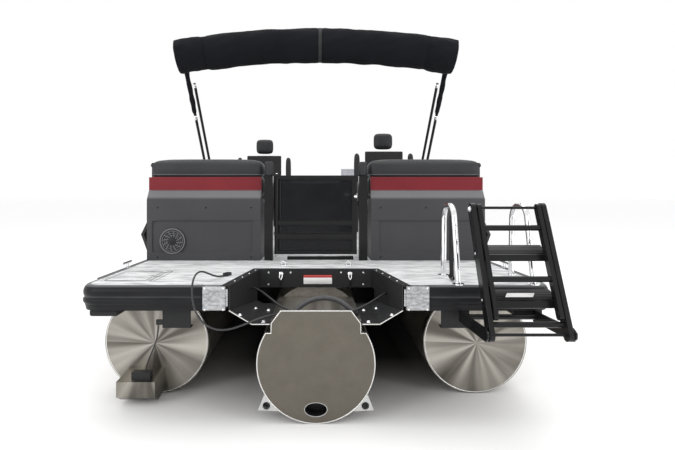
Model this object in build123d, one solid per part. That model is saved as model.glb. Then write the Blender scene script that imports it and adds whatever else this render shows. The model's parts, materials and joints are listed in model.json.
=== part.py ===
"""Three-tube pontoon boat, 23 ft class, standing on its tubes.

Axes: +X starboard, +Y bow, +Z up.  The origin is on the ground, under the middle of
the boat's overall length and beam.  All sizes are millimetres.
"""
from build123d import *
import math
import os

os.makedirs("parts", exist_ok=True)

# ---------------------------------------------------------------- driving dimensions
BEAM = 2590.0              # over the knuckles of the side fences
DECK_WIDTH = 2504.0        # over the deck edge rail
DECK_LENGTH = 7000.0       # stern bumper face to bow rail face
TUBE_DIAMETER = 620.0      # all three pontoons
TUBE_OVERHANG = 15.0       # how far a side tube reaches past the deck rail
BRACKET_RISE = 25.0        # top of tube to underside of crossmember
CROSSMEMBER_HEIGHT = 50.0
PANEL_THICKNESS = 18.0     # deck board
FLOORING_THICKNESS = 3.0   # woven vinyl
LADDER_REACH = 400.0       # how far the stowed ladder stands out past the stern
FENCE_HEIGHT = 715.0       # deck to the top of the fence rail
CHAIR_RADIUS = 397.0       # circle that a chair sweeps as it turns

# ---------------------------------------------------------------- clearances
MOVE_GAP = 6.0             # between pieces that move past each other
SEAT_GAP = 10.0            # between a lifting cushion and what stands behind it
GATE_GAP = 8.0             # around a gate leaf
OVERCUT = 50.0             # how far a cutting shape reaches past what it cuts

# ---------------------------------------------------------------- levels and stations
TUBE_R = TUBE_DIAMETER / 2
SIDE_TUBE_X = DECK_WIDTH / 2 + TUBE_OVERHANG - TUBE_R
BRACKET_TOP = TUBE_DIAMETER + BRACKET_RISE
PANEL_BOTTOM = BRACKET_TOP + CROSSMEMBER_HEIGHT
PANEL_TOP = PANEL_BOTTOM + PANEL_THICKNESS
DECK_TOP = PANEL_TOP + FLOORING_THICKNESS
STERN_Y = LADDER_REACH - (DECK_LENGTH + LADDER_REACH) / 2
HALF_DECK = DECK_WIDTH / 2


def station(distance):
    """Y of a place this far forward of the stern bumper's face."""
    return STERN_Y + distance


# ---------------------------------------------------------------- shape helpers
def slab(x0, x1, y0, y1, z0, z1):
    """A box given by its faces."""
    centre = ((x0 + x1) / 2, (y0 + y1) / 2, (z0 + z1) / 2)
    return Pos(*centre) * Box(abs(x1 - x0), abs(y1 - y0), abs(z1 - z0))


def soft_slab(x0, x1, y0, y1, z0, z1, radius):
    """A box with all its edges rounded, for cushions and mouldings."""
    box = slab(x0, x1, y0, y1, z0, z1)
    return fillet(box.edges(), radius)


def side_profile(points, x0, x1):
    """A (Y, Z) outline carried across from x0 to x1."""
    outline = make_face(Polyline(*points, close=True))
    return extrude(Plane.YZ.offset(x0) * outline, amount=x1 - x0)


def end_profile(points, y0, y1):
    """An (X, Z) outline carried forward from y0 to y1."""
    outline = make_face(Polyline(*points, close=True))
    plane = Plane(origin=(0, y1, 0), x_dir=(1, 0, 0), z_dir=(0, -1, 0))
    return extrude(plane * outline, amount=y1 - y0)


def plan_profile(points, z0, z1):
    """An (X, Y) outline raised from z0 to z1."""
    outline = make_face(Polyline(*points, close=True))
    return extrude(Plane.XY.offset(z0) * outline, amount=z1 - z0)


def rod(start, end, radius):
    """A round bar from start to end."""
    start = Vector(*start)
    direction = Vector(*end) - start
    plane = Plane(origin=start, z_dir=direction.normalized())
    return extrude(plane * Circle(radius), amount=direction.length)


def bent_tube(points, bend, radius):
    """A round tube along straight runs with rounded corners."""
    path = FilletPolyline(*points, radius=bend)
    section = Plane(origin=path @ 0, z_dir=path % 0) * Circle(radius)
    return sweep(section, path=path)


def mirrored(shape):
    """The shape and its mirror image across the centreline."""
    return [shape, mirror(shape, about=Plane.YZ)]


def save(name, *shapes):
    """Write one node; like pieces on one body go in as separate solids."""
    solids = []
    for shape in shapes:
        solids.extend(shape.solids())
    whole = solids[0] if len(solids) == 1 else Compound(solids)
    export_step(whole, f"parts/{name}.step")


# ---------------------------------------------------------------- pontoons
TUBE_AFT = 400.0           # side tubes start this far forward of the stern
TUBE_STRAIGHT_END = DECK_LENGTH - 900
NOSE_LENGTH = 850.0
NOSE_TIP_R = 45.0
NOSE_TIP_DROP = 25.0       # nose tip's top, below the tube's top
NOSE_SECTIONS = 12
CAP_BULGE = 30.0           # the spun aft cap stands out this far at its middle
CAP_RIM = 12.0
NOSE_KEEL_POWER = 2.2      # how late the nose's keel sweeps up
NOSE_REACH_POWER = 1.35    # how the nose's sections crowd towards its tip
POD_LENGTH = 600.0
POD_TOP = TUBE_DIAMETER - 80
POD_SHOULDER_Z = TUBE_DIAMETER - 147 # where the round section steps in
POD_HALF_WIDTH = 235.0
TRANSOM_TOP = TUBE_DIAMETER - 30
TRANSOM_TOP_HALF = 185.0
TRANSOM_SLANT_Z = TUBE_DIAMETER - 95
TRANSOM_THICKNESS = 12.0
DRAIN_WIDTH = 120.0
DRAIN_HEIGHT = 74.0
DRAIN_Z = 72.0
DRAIN_DEPTH = 90.0
STRAKE_TOP_Z = 150.0
STRAKE_APEX = (-302.0, 72.0)
STRAKE_INNER = (-190.0, 66.0)
STRAKE_OUTER_TOP_X = -270.0
STRAKE_ROOT = (-180.0, 160.0)   # inside the tube, cut away by it
STRAKE_HOLE_X = -257.0
STRAKE_HOLE_R = 20.0
STRAKE_HOLE_Z = 95.0
STRAKE_HOLE_DEPTH = 120.0


def nose(x):
    """Nose cone whose top stays high while its keel sweeps up."""
    sections = []
    for step in range(NOSE_SECTIONS + 1):
        t = step / NOSE_SECTIONS
        radius = TUBE_R - (TUBE_R - NOSE_TIP_R) * t ** NOSE_KEEL_POWER
        height = TUBE_DIAMETER - radius - NOSE_TIP_DROP * t
        reach = NOSE_LENGTH * (1 - (1 - t) ** NOSE_REACH_POWER)
        plane = Plane(origin=(x, station(TUBE_STRAIGHT_END) + reach, height), z_dir=(0, 1, 0))
        sections.append(plane * Circle(radius))
    return loft(sections, ruled=True)


def round_tube(x, y0, y1):
    """Straight length of pontoon lying on the ground."""
    plane = Plane(origin=(x, y0, TUBE_R), z_dir=(0, 1, 0))
    return extrude(plane * Circle(TUBE_R), amount=y1 - y0)


def side_pontoon(x):
    """Tube with a shallow spun cone for its aft cap."""
    tube = round_tube(x, station(TUBE_AFT), station(TUBE_STRAIGHT_END))
    rim = Plane(origin=(x, station(TUBE_AFT), TUBE_R), z_dir=(0, -1, 0))
    cap = loft([rim * Circle(TUBE_R - CAP_RIM), rim.offset(CAP_BULGE) * Circle(CAP_RIM)])
    return tube + cap + nose(x)


def transom_outline(top, half_top, slant_z):
    """Round below, stepped in at the shoulder, slanted to a flat top."""
    below = Pos(0, TUBE_R) * Circle(TUBE_R)
    below = below & (Pos(0, POD_SHOULDER_Z - TUBE_R) * Rectangle(TUBE_DIAMETER, TUBE_DIAMETER))
    head = make_face(Polyline(
        (-POD_HALF_WIDTH, TUBE_R),
        (POD_HALF_WIDTH, TUBE_R),
        (POD_HALF_WIDTH, slant_z),
        (half_top, top),
        (-half_top, top),
        (-POD_HALF_WIDTH, slant_z),
        close=True,
    ))
    return below + head


def facing_aft(y):
    """Sketch plane across the boat: local x is X, local y is Z, normal aft."""
    return Plane(origin=(0, y, 0), x_dir=(1, 0, 0), z_dir=(0, -1, 0))


def strake():
    """Lifting strake along the port side of the centre tube, drilled at its aft end."""
    length_end = station(TUBE_STRAIGHT_END)
    body = end_profile(
        [(STRAKE_OUTER_TOP_X, STRAKE_TOP_Z), STRAKE_APEX, STRAKE_INNER, STRAKE_ROOT],
        station(0), length_end,
    )
    body = body - round_tube(0, station(-OVERCUT), length_end + OVERCUT)
    hole = facing_aft(station(STRAKE_HOLE_DEPTH)) * Pos(STRAKE_HOLE_X, STRAKE_HOLE_Z) * Circle(STRAKE_HOLE_R)
    return body - extrude(hole, amount=STRAKE_HOLE_DEPTH + OVERCUT)


def build_pontoons():
    """Three pontoons, the motor plate and the lifting strakes."""
    save("port_pontoon", side_pontoon(-SIDE_TUBE_X))
    save("starboard_pontoon", side_pontoon(SIDE_TUBE_X))

    pod_start = station(TRANSOM_THICKNESS)
    pod_end = station(POD_LENGTH)
    pod = extrude(facing_aft(pod_end) * transom_outline(POD_TOP, POD_HALF_WIDTH, TRANSOM_SLANT_Z),
                  amount=pod_end - pod_start)
    drain = facing_aft(station(DRAIN_DEPTH)) * Pos(0, DRAIN_Z) * Ellipse(DRAIN_WIDTH / 2, DRAIN_HEIGHT / 2)
    drain = extrude(drain, amount=DRAIN_DEPTH + OVERCUT)
    tube = round_tube(0, pod_end, station(TUBE_STRAIGHT_END))
    save("centre_pontoon", pod - drain + tube + nose(0))

    plate = extrude(facing_aft(pod_start) * transom_outline(TRANSOM_TOP, TRANSOM_TOP_HALF, TRANSOM_SLANT_Z),
                    amount=TRANSOM_THICKNESS)
    save("transom_plate", plate - drain)
    save("lifting_strakes", *mirrored(strake()))


# ---------------------------------------------------------------- frame under the deck
RAIL_BAR_OFFSET = 90.0     # bracket rails stand this far each side of a tube's axis
RAIL_BAR_THICKNESS = 12.0
RAIL_BAR_DEPTH = 30.0
CROSSMEMBER_PITCH = 430.0
CROSSMEMBER_FIRST = 700.0
CROSSMEMBER_LAST_GAP = 280.0   # from the last one to the bow rail, at least
CROSSMEMBER_COUNT = 1 + int((DECK_LENGTH - CROSSMEMBER_LAST_GAP - CROSSMEMBER_FIRST) // CROSSMEMBER_PITCH)
CROSSMEMBER_WIDTH = 40.0
CROSSMEMBER_WALL = 4.0
RAIL_BAR_END_GAP = 50.0
BEAM_END_GAP = 50.0        # crossmember end to the deck rail's outer face
BEAM_RAIL_GAP = 5.0
STERN_BEAMS = (60.0, 515.0)
WELL_CLEAR_X = 480.0


def channel(x0, x1, y, z0, z1):
    """C-section beam lying across the boat, open forward."""
    beam = slab(x0, x1, y, y + CROSSMEMBER_WIDTH, z0, z1)
    inside = slab(x0 - 1, x1 + 1, y + CROSSMEMBER_WALL, y + CROSSMEMBER_WIDTH + 1,
                  z0 + CROSSMEMBER_WALL, z1 - CROSSMEMBER_WALL)
    return beam - inside


def build_frame():
    """Brackets on the tubes and the crossmembers above them."""
    rails = []
    for tube_x, start in ((-SIDE_TUBE_X, TUBE_AFT), (0.0, POD_LENGTH), (SIDE_TUBE_X, TUBE_AFT)):
        tube = round_tube(tube_x, station(0), station(TUBE_STRAIGHT_END))
        for side in (-1, 1):
            x = tube_x + side * RAIL_BAR_OFFSET
            bar = slab(x - RAIL_BAR_THICKNESS / 2, x + RAIL_BAR_THICKNESS / 2,
                       station(start + RAIL_BAR_END_GAP), station(TUBE_STRAIGHT_END - RAIL_BAR_END_GAP),
                       BRACKET_TOP - RAIL_BAR_DEPTH - BRACKET_RISE, BRACKET_TOP)
            rails.append(bar - tube)
    save("pontoon_brackets", *rails)

    reach = HALF_DECK - BEAM_END_GAP
    beams = []
    for index in range(CROSSMEMBER_COUNT):
        y = station(CROSSMEMBER_FIRST + index * CROSSMEMBER_PITCH)
        beams.append(channel(-reach, reach, y, BRACKET_TOP, PANEL_BOTTOM))
    for distance in STERN_BEAMS:
        beams.extend(mirrored(channel(WELL_CLEAR_X, reach, station(distance), BRACKET_TOP, PANEL_BOTTOM)))
    within = layer(EDGE_WIDTH + BEAM_RAIL_GAP, BRACKET_TOP, PANEL_BOTTOM)
    save("crossmembers", *[beam & within for beam in beams])


# ---------------------------------------------------------------- deck
EDGE_WIDTH = 40.0          # edge rail and stern bumper, in plan
STERN_CORNER_R = 110.0
BOW_CORNER_R = 420.0
BUMPER_RUN = 260.0         # how far the stern bumper wraps forward along the side
RAIL_GROOVE_Z = (PANEL_BOTTOM - 15, PANEL_BOTTOM + 3)
RAIL_GROOVE_DEPTH = 7.0
BUMPER_TOP = DECK_TOP
BUMPER_BOTTOM = DECK_TOP - 131
BUMPER_GROOVE = 9.0        # depth of the groove between the bumper's two rounds
BUMPER_FOOT = 24.0
BUMPER_LIP = 18.0
CAP_INNER_X = 470.0
CAP_OUTER_X = 590.0
WELL_DEPTH = 560.0         # motor well, stern to its back wall
WELL_FRONT_HALF = 360.0
WELL_REAR_HALF = 455.0
WELL_WALL = 5.0
WELL_FLANGE = 40.0
FLANGE_THICKNESS = 4.0
WELL_BACK_BOTTOM = DECK_TOP - 109
RAMP_LOW_Z = DECK_TOP - 202
RAMP_HIGH_Z = DECK_TOP - 129
RAMP_INNER_X = 240.0
RAMP_BEND_X = 333.0
RAMP_LENGTH = 500.0
HANGER_Z = DECK_TOP - 233  # foot of the hanging brackets
HANGER_X = (-816.0, -666.0)
HANGER_SHEET = 6.0
HANGER_STATIONS = (60.0, 110.0)
GUARD_X = (-1200.0, -1050.0)
GUARD_DROP = 38.0
CLEAT_HEIGHT = 36.0
CLEAT_HALF_LENGTH = 75.0
CLEAT_BAR_R = 8.0
STERN_CLEAT = 640.0
BOW_CLEAT = DECK_LENGTH - 85
BOW_CLEAT_X = 640.0
HATCH = (-1186.0, -930.0, 155.0, 493.0)   # outer X, inner X, aft and forward stations


def deck_face(inset):
    """Plan outline of the deck, drawn in by inset from the rail's outer face."""
    half = HALF_DECK - inset
    y0 = station(inset)
    y1 = station(DECK_LENGTH - inset)
    face = make_face(Polyline((-half, y0), (half, y0), (half, y1), (-half, y1), close=True))
    aft = face.vertices().sort_by(Axis.Y)[:2]
    face = fillet(aft, STERN_CORNER_R - inset)
    bow = face.vertices().sort_by(Axis.Y)[-2:]
    return fillet(bow, BOW_CORNER_R - inset)


def well_cut(grow, z0, z1):
    """The motor well's plan shape, open at the stern."""
    front = WELL_FRONT_HALF + grow
    rear = WELL_REAR_HALF + grow
    return plan_profile([(-rear, station(-5)), (-front, station(WELL_DEPTH + grow)),
                         (front, station(WELL_DEPTH + grow)), (rear, station(-5))], z0, z1)


def hatch_cut(grow, z0, z1):
    """The hatch lid's block, grown all round by a gap."""
    x0, x1, near, far = HATCH
    return slab(x0 - grow, x1 + grow, station(near) - grow, station(far) + grow, z0, z1)


def layer(inset, z0, z1):
    """A slice of the deck's outline between two heights."""
    return extrude(Plane.XY.offset(z0) * deck_face(inset), amount=z1 - z0)


def stern_bumper():
    """Port stern bumper: from its end cap out along the stern and round the corner."""
    rail = HALF_DECK - EDGE_WIDTH
    start = Vector(-CAP_OUTER_X, station(EDGE_WIDTH), 0)
    corner = Vector(-rail, station(EDGE_WIDTH), 0)
    end = Vector(-rail, station(BUMPER_RUN), 0)
    path = FilletPolyline(start, corner, end, radius=STERN_CORNER_R - EDGE_WIDTH)
    low = BUMPER_BOTTOM
    rise = BUMPER_TOP - low
    groove = (EDGE_WIDTH - BUMPER_GROOVE, low + 0.50 * rise)
    heel = (EDGE_WIDTH - BUMPER_GROOVE, low + 0.24 * rise)
    outline = Polyline((BUMPER_FOOT, low), (0, low), (0, BUMPER_TOP), (BUMPER_LIP, BUMPER_TOP))
    outline += ThreePointArc((BUMPER_LIP, BUMPER_TOP), (EDGE_WIDTH - 2, low + 0.72 * rise), groove)
    outline += ThreePointArc(groove, (EDGE_WIDTH, low + 0.38 * rise), heel)
    outline += Line(heel, (BUMPER_FOOT, low))
    plane = Plane(origin=start, x_dir=(0, -1, 0), z_dir=(-1, 0, 0))
    return sweep(plane * make_face(outline), path=path)


def end_cap():
    """Bright cover on the bumper's inner end, with a tabbed strip beside the well."""
    cap = soft_slab(-CAP_OUTER_X + 1, -CAP_INNER_X, station(-6), station(EDGE_WIDTH), BUMPER_BOTTOM + 6,
                    BUMPER_TOP - 1, 3)
    window = slab(-CAP_OUTER_X + 30, -CAP_INNER_X - 30, station(-10), station(-2), BUMPER_TOP - 76, BUMPER_TOP - 36)
    strip = slab(-CAP_INNER_X, -CAP_INNER_X + 10, station(4), station(EDGE_WIDTH), BUMPER_TOP - 106, BUMPER_TOP - 16)
    return cap - window + strip


def motor_well():
    """Liner of the motor notch: back wall, slanted side walls, bent ramps, top flange."""
    outer = well_cut(-0.5, RAMP_LOW_Z, DECK_TOP + FLANGE_THICKNESS)
    inner = well_cut(-0.5 - WELL_WALL, RAMP_LOW_Z - 1, DECK_TOP + FLANGE_THICKNESS + 1)
    walls = outer - inner
    flange = well_cut(WELL_FLANGE, DECK_TOP, DECK_TOP + FLANGE_THICKNESS)
    flange = flange - well_cut(-0.5 - WELL_WALL, DECK_TOP - 1, DECK_TOP + FLANGE_THICKNESS + 1)
    liner = walls + flange
    far = WELL_REAR_HALF + WELL_FLANGE + 10
    below = [(RAMP_INNER_X, RAMP_LOW_Z), (RAMP_BEND_X, RAMP_LOW_Z), (WELL_REAR_HALF, RAMP_HIGH_Z),
             (far, RAMP_HIGH_Z), (far, RAMP_LOW_Z - 10), (RAMP_INNER_X, RAMP_LOW_Z - 10)]
    for cut in mirrored(end_profile(below, station(-20), station(WELL_DEPTH + OVERCUT))):
        liner = liner - cut
    liner = liner - slab(-far, far, station(RAMP_LENGTH), station(WELL_DEPTH + OVERCUT), 0, WELL_BACK_BOTTOM)
    ramp = end_profile(
        [(RAMP_INNER_X, RAMP_LOW_Z), (RAMP_BEND_X, RAMP_LOW_Z), (WELL_REAR_HALF, RAMP_HIGH_Z),
         (WELL_REAR_HALF, RAMP_HIGH_Z + WELL_WALL), (RAMP_BEND_X - 1, RAMP_LOW_Z + WELL_WALL),
         (RAMP_INNER_X, RAMP_LOW_Z + WELL_WALL)],
        station(0), station(RAMP_LENGTH),
    )
    ramp = ramp & well_cut(-0.5, RAMP_LOW_Z - 10, DECK_TOP)
    for piece in mirrored(ramp):
        liner = liner + piece
    return liner - slab(-far, far, station(-OVERCUT), station(0), 0, DECK_TOP + OVERCUT)


def corner_guard():
    """Boot under the stern corner."""
    body = soft_slab(*GUARD_X, station(44), station(170), BUMPER_BOTTOM - GUARD_DROP, BUMPER_BOTTOM, 12)
    return body + slab(-1160, -1090, station(62), station(98), BUMPER_BOTTOM - 20, BRACKET_TOP)


def hanging_bracket():
    """Folded plate that hangs from the stern framing over a side tube."""
    aft = station(HANGER_STATIONS[0])
    plate = slab(*HANGER_X, aft, aft + HANGER_SHEET, HANGER_Z, BRACKET_TOP)
    foot = slab(*HANGER_X, aft + HANGER_SHEET, station(HANGER_STATIONS[1]), HANGER_Z, HANGER_Z + HANGER_SHEET)
    return plate + foot


def cleat(x, y):
    """Two-horned cleat lying fore and aft."""
    base = slab(x - 14, x + 14, y - 30, y + 30, DECK_TOP, DECK_TOP + 6)
    bar_z = DECK_TOP + CLEAT_HEIGHT
    whole = base + rod((x, y - CLEAT_HALF_LENGTH, bar_z), (x, y + CLEAT_HALF_LENGTH, bar_z), CLEAT_BAR_R)
    for foot in (-18, 18):
        whole += slab(x - 7, x + 7, y + foot - 6, y + foot + 6, DECK_TOP + 6, DECK_TOP + 34)
    return whole


def build_deck():
    """Board, flooring, rail, bumpers, well, brackets, cleats and hatch."""
    panel = layer(EDGE_WIDTH, PANEL_BOTTOM, PANEL_TOP)
    panel = panel - well_cut(0, PANEL_BOTTOM - 1, DECK_TOP + 1)
    panel = panel - hatch_cut(MOVE_GAP, PANEL_BOTTOM - 1, DECK_TOP + 1)
    save("deck_panel", panel)

    flooring = layer(EDGE_WIDTH, PANEL_TOP, DECK_TOP)
    flooring = flooring - well_cut(0, PANEL_BOTTOM - 1, DECK_TOP + 1)
    flooring = flooring - hatch_cut(MOVE_GAP, PANEL_BOTTOM - 1, DECK_TOP + 1)
    save("deck_flooring", flooring)

    rail = layer(0, BRACKET_TOP - 5, DECK_TOP) - layer(EDGE_WIDTH, 0, DECK_TOP + OVERCUT)
    groove = layer(-OVERCUT, *RAIL_GROOVE_Z) - layer(RAIL_GROOVE_DEPTH, 0, DECK_TOP + OVERCUT)
    stern = slab(-BEAM / 2, BEAM / 2, station(-OVERCUT), station(BUMPER_RUN), 0, DECK_TOP + OVERCUT)
    save("deck_edge_rail", rail - groove - stern)
    save("stern_bumpers", *mirrored(stern_bumper()))
    save("bumper_end_caps", *mirrored(end_cap()))
    save("motor_well", motor_well())
    save("stern_brackets", *mirrored(corner_guard()), *mirrored(hanging_bracket()))

    stern_cleat = cleat(-HALF_DECK + EDGE_WIDTH / 2, station(STERN_CLEAT))
    bow_cleat = Pos(-BOW_CLEAT_X, station(BOW_CLEAT), 0) * Rot(0, 0, 90) * cleat(0, 0)
    save("deck_cleats", *mirrored(stern_cleat), *mirrored(bow_cleat))

    lid = hatch_cut(0, PANEL_BOTTOM, DECK_TOP)
    save("platform_hatch", lid)


# ---------------------------------------------------------------- stern seats and gate
SEAT_INNER_X = 402.0
PANEL_OUTER_X = 1229.0
PANEL_AFT = 1010.0         # station of the moulded rear panel
PANEL_DEPTH = 65.0
BEVEL_LOW_Z = DECK_TOP + 444
BEVEL_HIGH_Z = DECK_TOP + 513
BEVEL_RUN = 50.0
BAND_TOP_Z = DECK_TOP + 607
BAND_THICKNESS = 16.0
BACK_TOP_Z = DECK_TOP + 732
BASE_OUTER_X = 1166.0
BASE_FRONT = 1760.0
BASE_WALL = 15.0
BASE_BACK_DEPTH = 160.0
BASE_TOP_Z = DECK_TOP + 329
SEAT_CUSHION = 120.0
CUSHION_OUTER_X = 1184.0
CUSHION_INNER_X = 385.0
POST_INNER_X = 313.0
POST_WIDTH = 62.0
POST_DEPTH = 60.0
POST_TOP_Z = DECK_TOP + 614
GATE_THICKNESS = 34.0
GATE_BOTTOM_Z = DECK_TOP + 44
GATE_TOP_Z = DECK_TOP + 619
GATE_HINGE_X = -288.0
GATE_LATCH_X = 299.0
GATE_STATION = 1040.0
SPEAKER_X = 1042.0
SPEAKER_Z = DECK_TOP + 141
SPEAKER_R = 93.0
SPEAKER_SET = 30.0         # how far the speaker is sunk into the panel
SPEAKER_PROUD = 4.0
RECESS_TOP_Z = DECK_TOP + 288
SILL_X = (-211.0, 276.0)
SILL_HEIGHT = 24.0
PANE_HALF = 3.0            # half the smoked pane's thickness
PANE_BITE = 8.0            # how far the pane is let into the leaf's frame
ROLL_TOP_Z = DECK_TOP + 720
ROLL_R = 31.0
GATE_RAILS = ((0.0, 26.0), (112.0, 149.0), (214.0, 243.0), (549.0, 575.0))   # heights on the leaf


def rear_panel():
    """Moulded panel behind the port stern seat, bevelled along its top."""
    aft = station(PANEL_AFT)
    fore = aft + PANEL_DEPTH
    outline = [(aft, DECK_TOP), (fore, DECK_TOP), (fore, BEVEL_HIGH_Z), (aft + BEVEL_RUN, BEVEL_HIGH_Z),
               (aft, BEVEL_LOW_Z)]
    return side_profile(outline, -PANEL_OUTER_X, -SEAT_INNER_X)


def lower_recess():
    """Step around the speaker panel in the lower half of the rear panel."""
    aft = station(PANEL_AFT)
    return soft_slab(-PANEL_OUTER_X + 40, -SEAT_INNER_X - 60, aft - 30, aft + 8, DECK_TOP + 60, RECESS_TOP_Z, 5)


def seat_base():
    """Open-topped locker under the port stern seat, with the back's support behind it."""
    aft = station(PANEL_AFT + PANEL_DEPTH)
    fore = station(BASE_FRONT)
    box = slab(-BASE_OUTER_X, -SEAT_INNER_X, aft, fore, DECK_TOP, BASE_TOP_Z)
    back = slab(-BASE_OUTER_X, -SEAT_INNER_X, aft, aft + BASE_BACK_DEPTH, BASE_TOP_Z, BASE_TOP_Z + SEAT_CUSHION)
    inside = slab(-BASE_OUTER_X + BASE_WALL, -SEAT_INNER_X - BASE_WALL, aft + BASE_BACK_DEPTH,
                  fore - BASE_WALL, DECK_TOP + BASE_WALL, BASE_TOP_Z + 1)
    return box + back - inside


def back_cushion():
    """Backrest with a roll that laps over the red band."""
    aft = station(PANEL_AFT + PANEL_DEPTH)
    pad = soft_slab(-CUSHION_OUTER_X, -CUSHION_INNER_X, aft + 2, aft + BASE_BACK_DEPTH - 5,
                    BASE_TOP_Z + SEAT_CUSHION + 1, BACK_TOP_Z, 30)
    roll = soft_slab(-CUSHION_OUTER_X, -CUSHION_INNER_X, aft - 28, aft + BASE_BACK_DEPTH - 5,
                     BAND_TOP_Z + 1, BACK_TOP_Z, 30)
    return pad + roll


def seat_cushion():
    """Lifting cushion of the port stern seat."""
    aft = station(PANEL_AFT + PANEL_DEPTH + BASE_BACK_DEPTH) + SEAT_GAP
    return soft_slab(-BASE_OUTER_X, -SEAT_INNER_X, aft, station(BASE_FRONT) + 12, BASE_TOP_Z + 1,
                     BASE_TOP_Z + SEAT_CUSHION, 20)


def post_roll():
    """Upright cushion end standing on a gate post."""
    centre = Pos(-POST_INNER_X - POST_WIDTH / 2, station(GATE_STATION), (POST_TOP_Z + ROLL_TOP_Z) / 2)
    return fillet((centre * Cylinder(ROLL_R, ROLL_TOP_Z - POST_TOP_Z)).edges(), 12)


def gate_leaf(width, height, thickness, stile, rails):
    """Flat gate standing on X from 0: round hinge stile, rails at given heights."""
    frame = Pos(thickness / 2, 0, height / 2) * Cylinder(thickness / 2, height)
    frame += slab(width - stile, width, -thickness / 2, thickness / 2, 0, height)
    for low, high in rails:
        frame += slab(thickness / 2, width - stile + 1, -thickness / 2, thickness / 2, low, high)
    return frame


def build_stern():
    """Both stern seats with their moulded panels, and the gate between them."""
    port_panel = rear_panel() - lower_recess()
    behind = facing_aft(station(PANEL_AFT) + SPEAKER_SET) * Pos(-SPEAKER_X, SPEAKER_Z)
    speaker = behind * Circle(SPEAKER_R)
    recess = extrude(behind * Circle(SPEAKER_R + 1), amount=2 * SPEAKER_SET)
    starboard_panel = mirror(rear_panel() - lower_recess(), about=Plane.YZ)
    save("aft_seat_panels", port_panel - recess, starboard_panel)
    save("rear_speaker", extrude(speaker, amount=SPEAKER_SET + SPEAKER_PROUD))

    band = slab(-PANEL_OUTER_X, -SEAT_INNER_X, station(PANEL_AFT + BEVEL_RUN - 1),
                station(PANEL_AFT + PANEL_DEPTH), BEVEL_HIGH_Z, BAND_TOP_Z)
    save("aft_accent_bands", *mirrored(band))
    save("aft_seat_bases", *mirrored(seat_base()))
    save("aft_back_cushions", *mirrored(back_cushion()), *mirrored(post_roll()))
    save("port_aft_seat_cushion", seat_cushion())
    save("starboard_aft_seat_cushion", mirror(seat_cushion(), about=Plane.YZ))

    post_y = station(GATE_STATION)
    post = slab(-POST_INNER_X - POST_WIDTH, -POST_INNER_X, post_y - POST_DEPTH / 2, post_y + POST_DEPTH / 2,
                DECK_TOP, POST_TOP_Z)
    sill = slab(*SILL_X, post_y + 20, post_y + 60, DECK_TOP, DECK_TOP + SILL_HEIGHT)
    save("gate_posts", *mirrored(post), sill)

    height = GATE_TOP_Z - GATE_BOTTOM_Z
    place = Pos(GATE_HINGE_X - GATE_THICKNESS / 2, post_y, GATE_BOTTOM_Z)
    width = GATE_LATCH_X - GATE_HINGE_X + GATE_THICKNESS / 2
    frame = gate_leaf(width, height, GATE_THICKNESS, GATE_THICKNESS, GATE_RAILS)
    slot = slab(GATE_THICKNESS / 2 + PANE_BITE, width - 26, -PANE_HALF, PANE_HALF, 18, height - 18)
    save("stern_gate_frame", place * (frame - slot))
    save("stern_gate_panel", place * slab(GATE_THICKNESS, width - 26, -PANE_HALF, PANE_HALF, 18, height - 18))


# ---------------------------------------------------------------- fences
FENCE_PATH_X = 1214.0      # outer face above the knuckle
FENCE_WALL = 22.0
FENCE_AFT = 1077.0
FENCE_FORE = DECK_LENGTH - 220
FENCE_CORNER_R = 330.0
KNUCKLE_Z = DECK_TOP + 184
SHOULDER_Z = DECK_TOP + 353
FENCE_RAIL_R = 19.0
FENCE_FLARE = 14.0         # the fence's foot stands out this far
FENCE_FOOT = (34.0, 30.0)  # width and height of the foot moulding
LEAF_THICKNESS = 30.0
LEAF_LIFT = 12.0           # gate leaf above the deck
LEAF_RAILS = ((0.0, 28.0), (230.0, 262.0))
SIDE_GATE = (4180.0, 4850.0)
BOW_GATE_HALF = 340.0


def fence_section():
    """Outline across the fence: u outward from the path, v up."""
    knuckle = BEAM / 2 - FENCE_PATH_X
    outer = [(FENCE_FLARE, DECK_TOP), (knuckle, KNUCKLE_Z), (0, SHOULDER_Z),
             (0, DECK_TOP + FENCE_HEIGHT - FENCE_RAIL_R)]
    inner = [(u - FENCE_WALL, v) for u, v in reversed(outer)]
    skin = make_face(Polyline(*outer, *inner, close=True))
    rail = Pos(-FENCE_WALL / 2, DECK_TOP + FENCE_HEIGHT - FENCE_RAIL_R) * Circle(FENCE_RAIL_R)
    foot = Pos(FENCE_FLARE - FENCE_WALL / 2 - 4, DECK_TOP + FENCE_FOOT[1] / 2) * Rectangle(*FENCE_FOOT)
    return skin + rail + foot


def fence(*points):
    """Fence wall swept along plan points, outward on the path's left."""
    vectors = [Vector(x, y, 0) for x, y in points]
    if len(points) > 2:
        path = FilletPolyline(*vectors, radius=FENCE_CORNER_R)
    else:
        path = Line(*vectors)
    heading = path % 0
    outward = Vector(-heading.Y, heading.X, 0)
    plane = Plane(origin=vectors[0], x_dir=outward, z_dir=heading)
    return sweep(plane * fence_section(), path=path)


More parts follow.
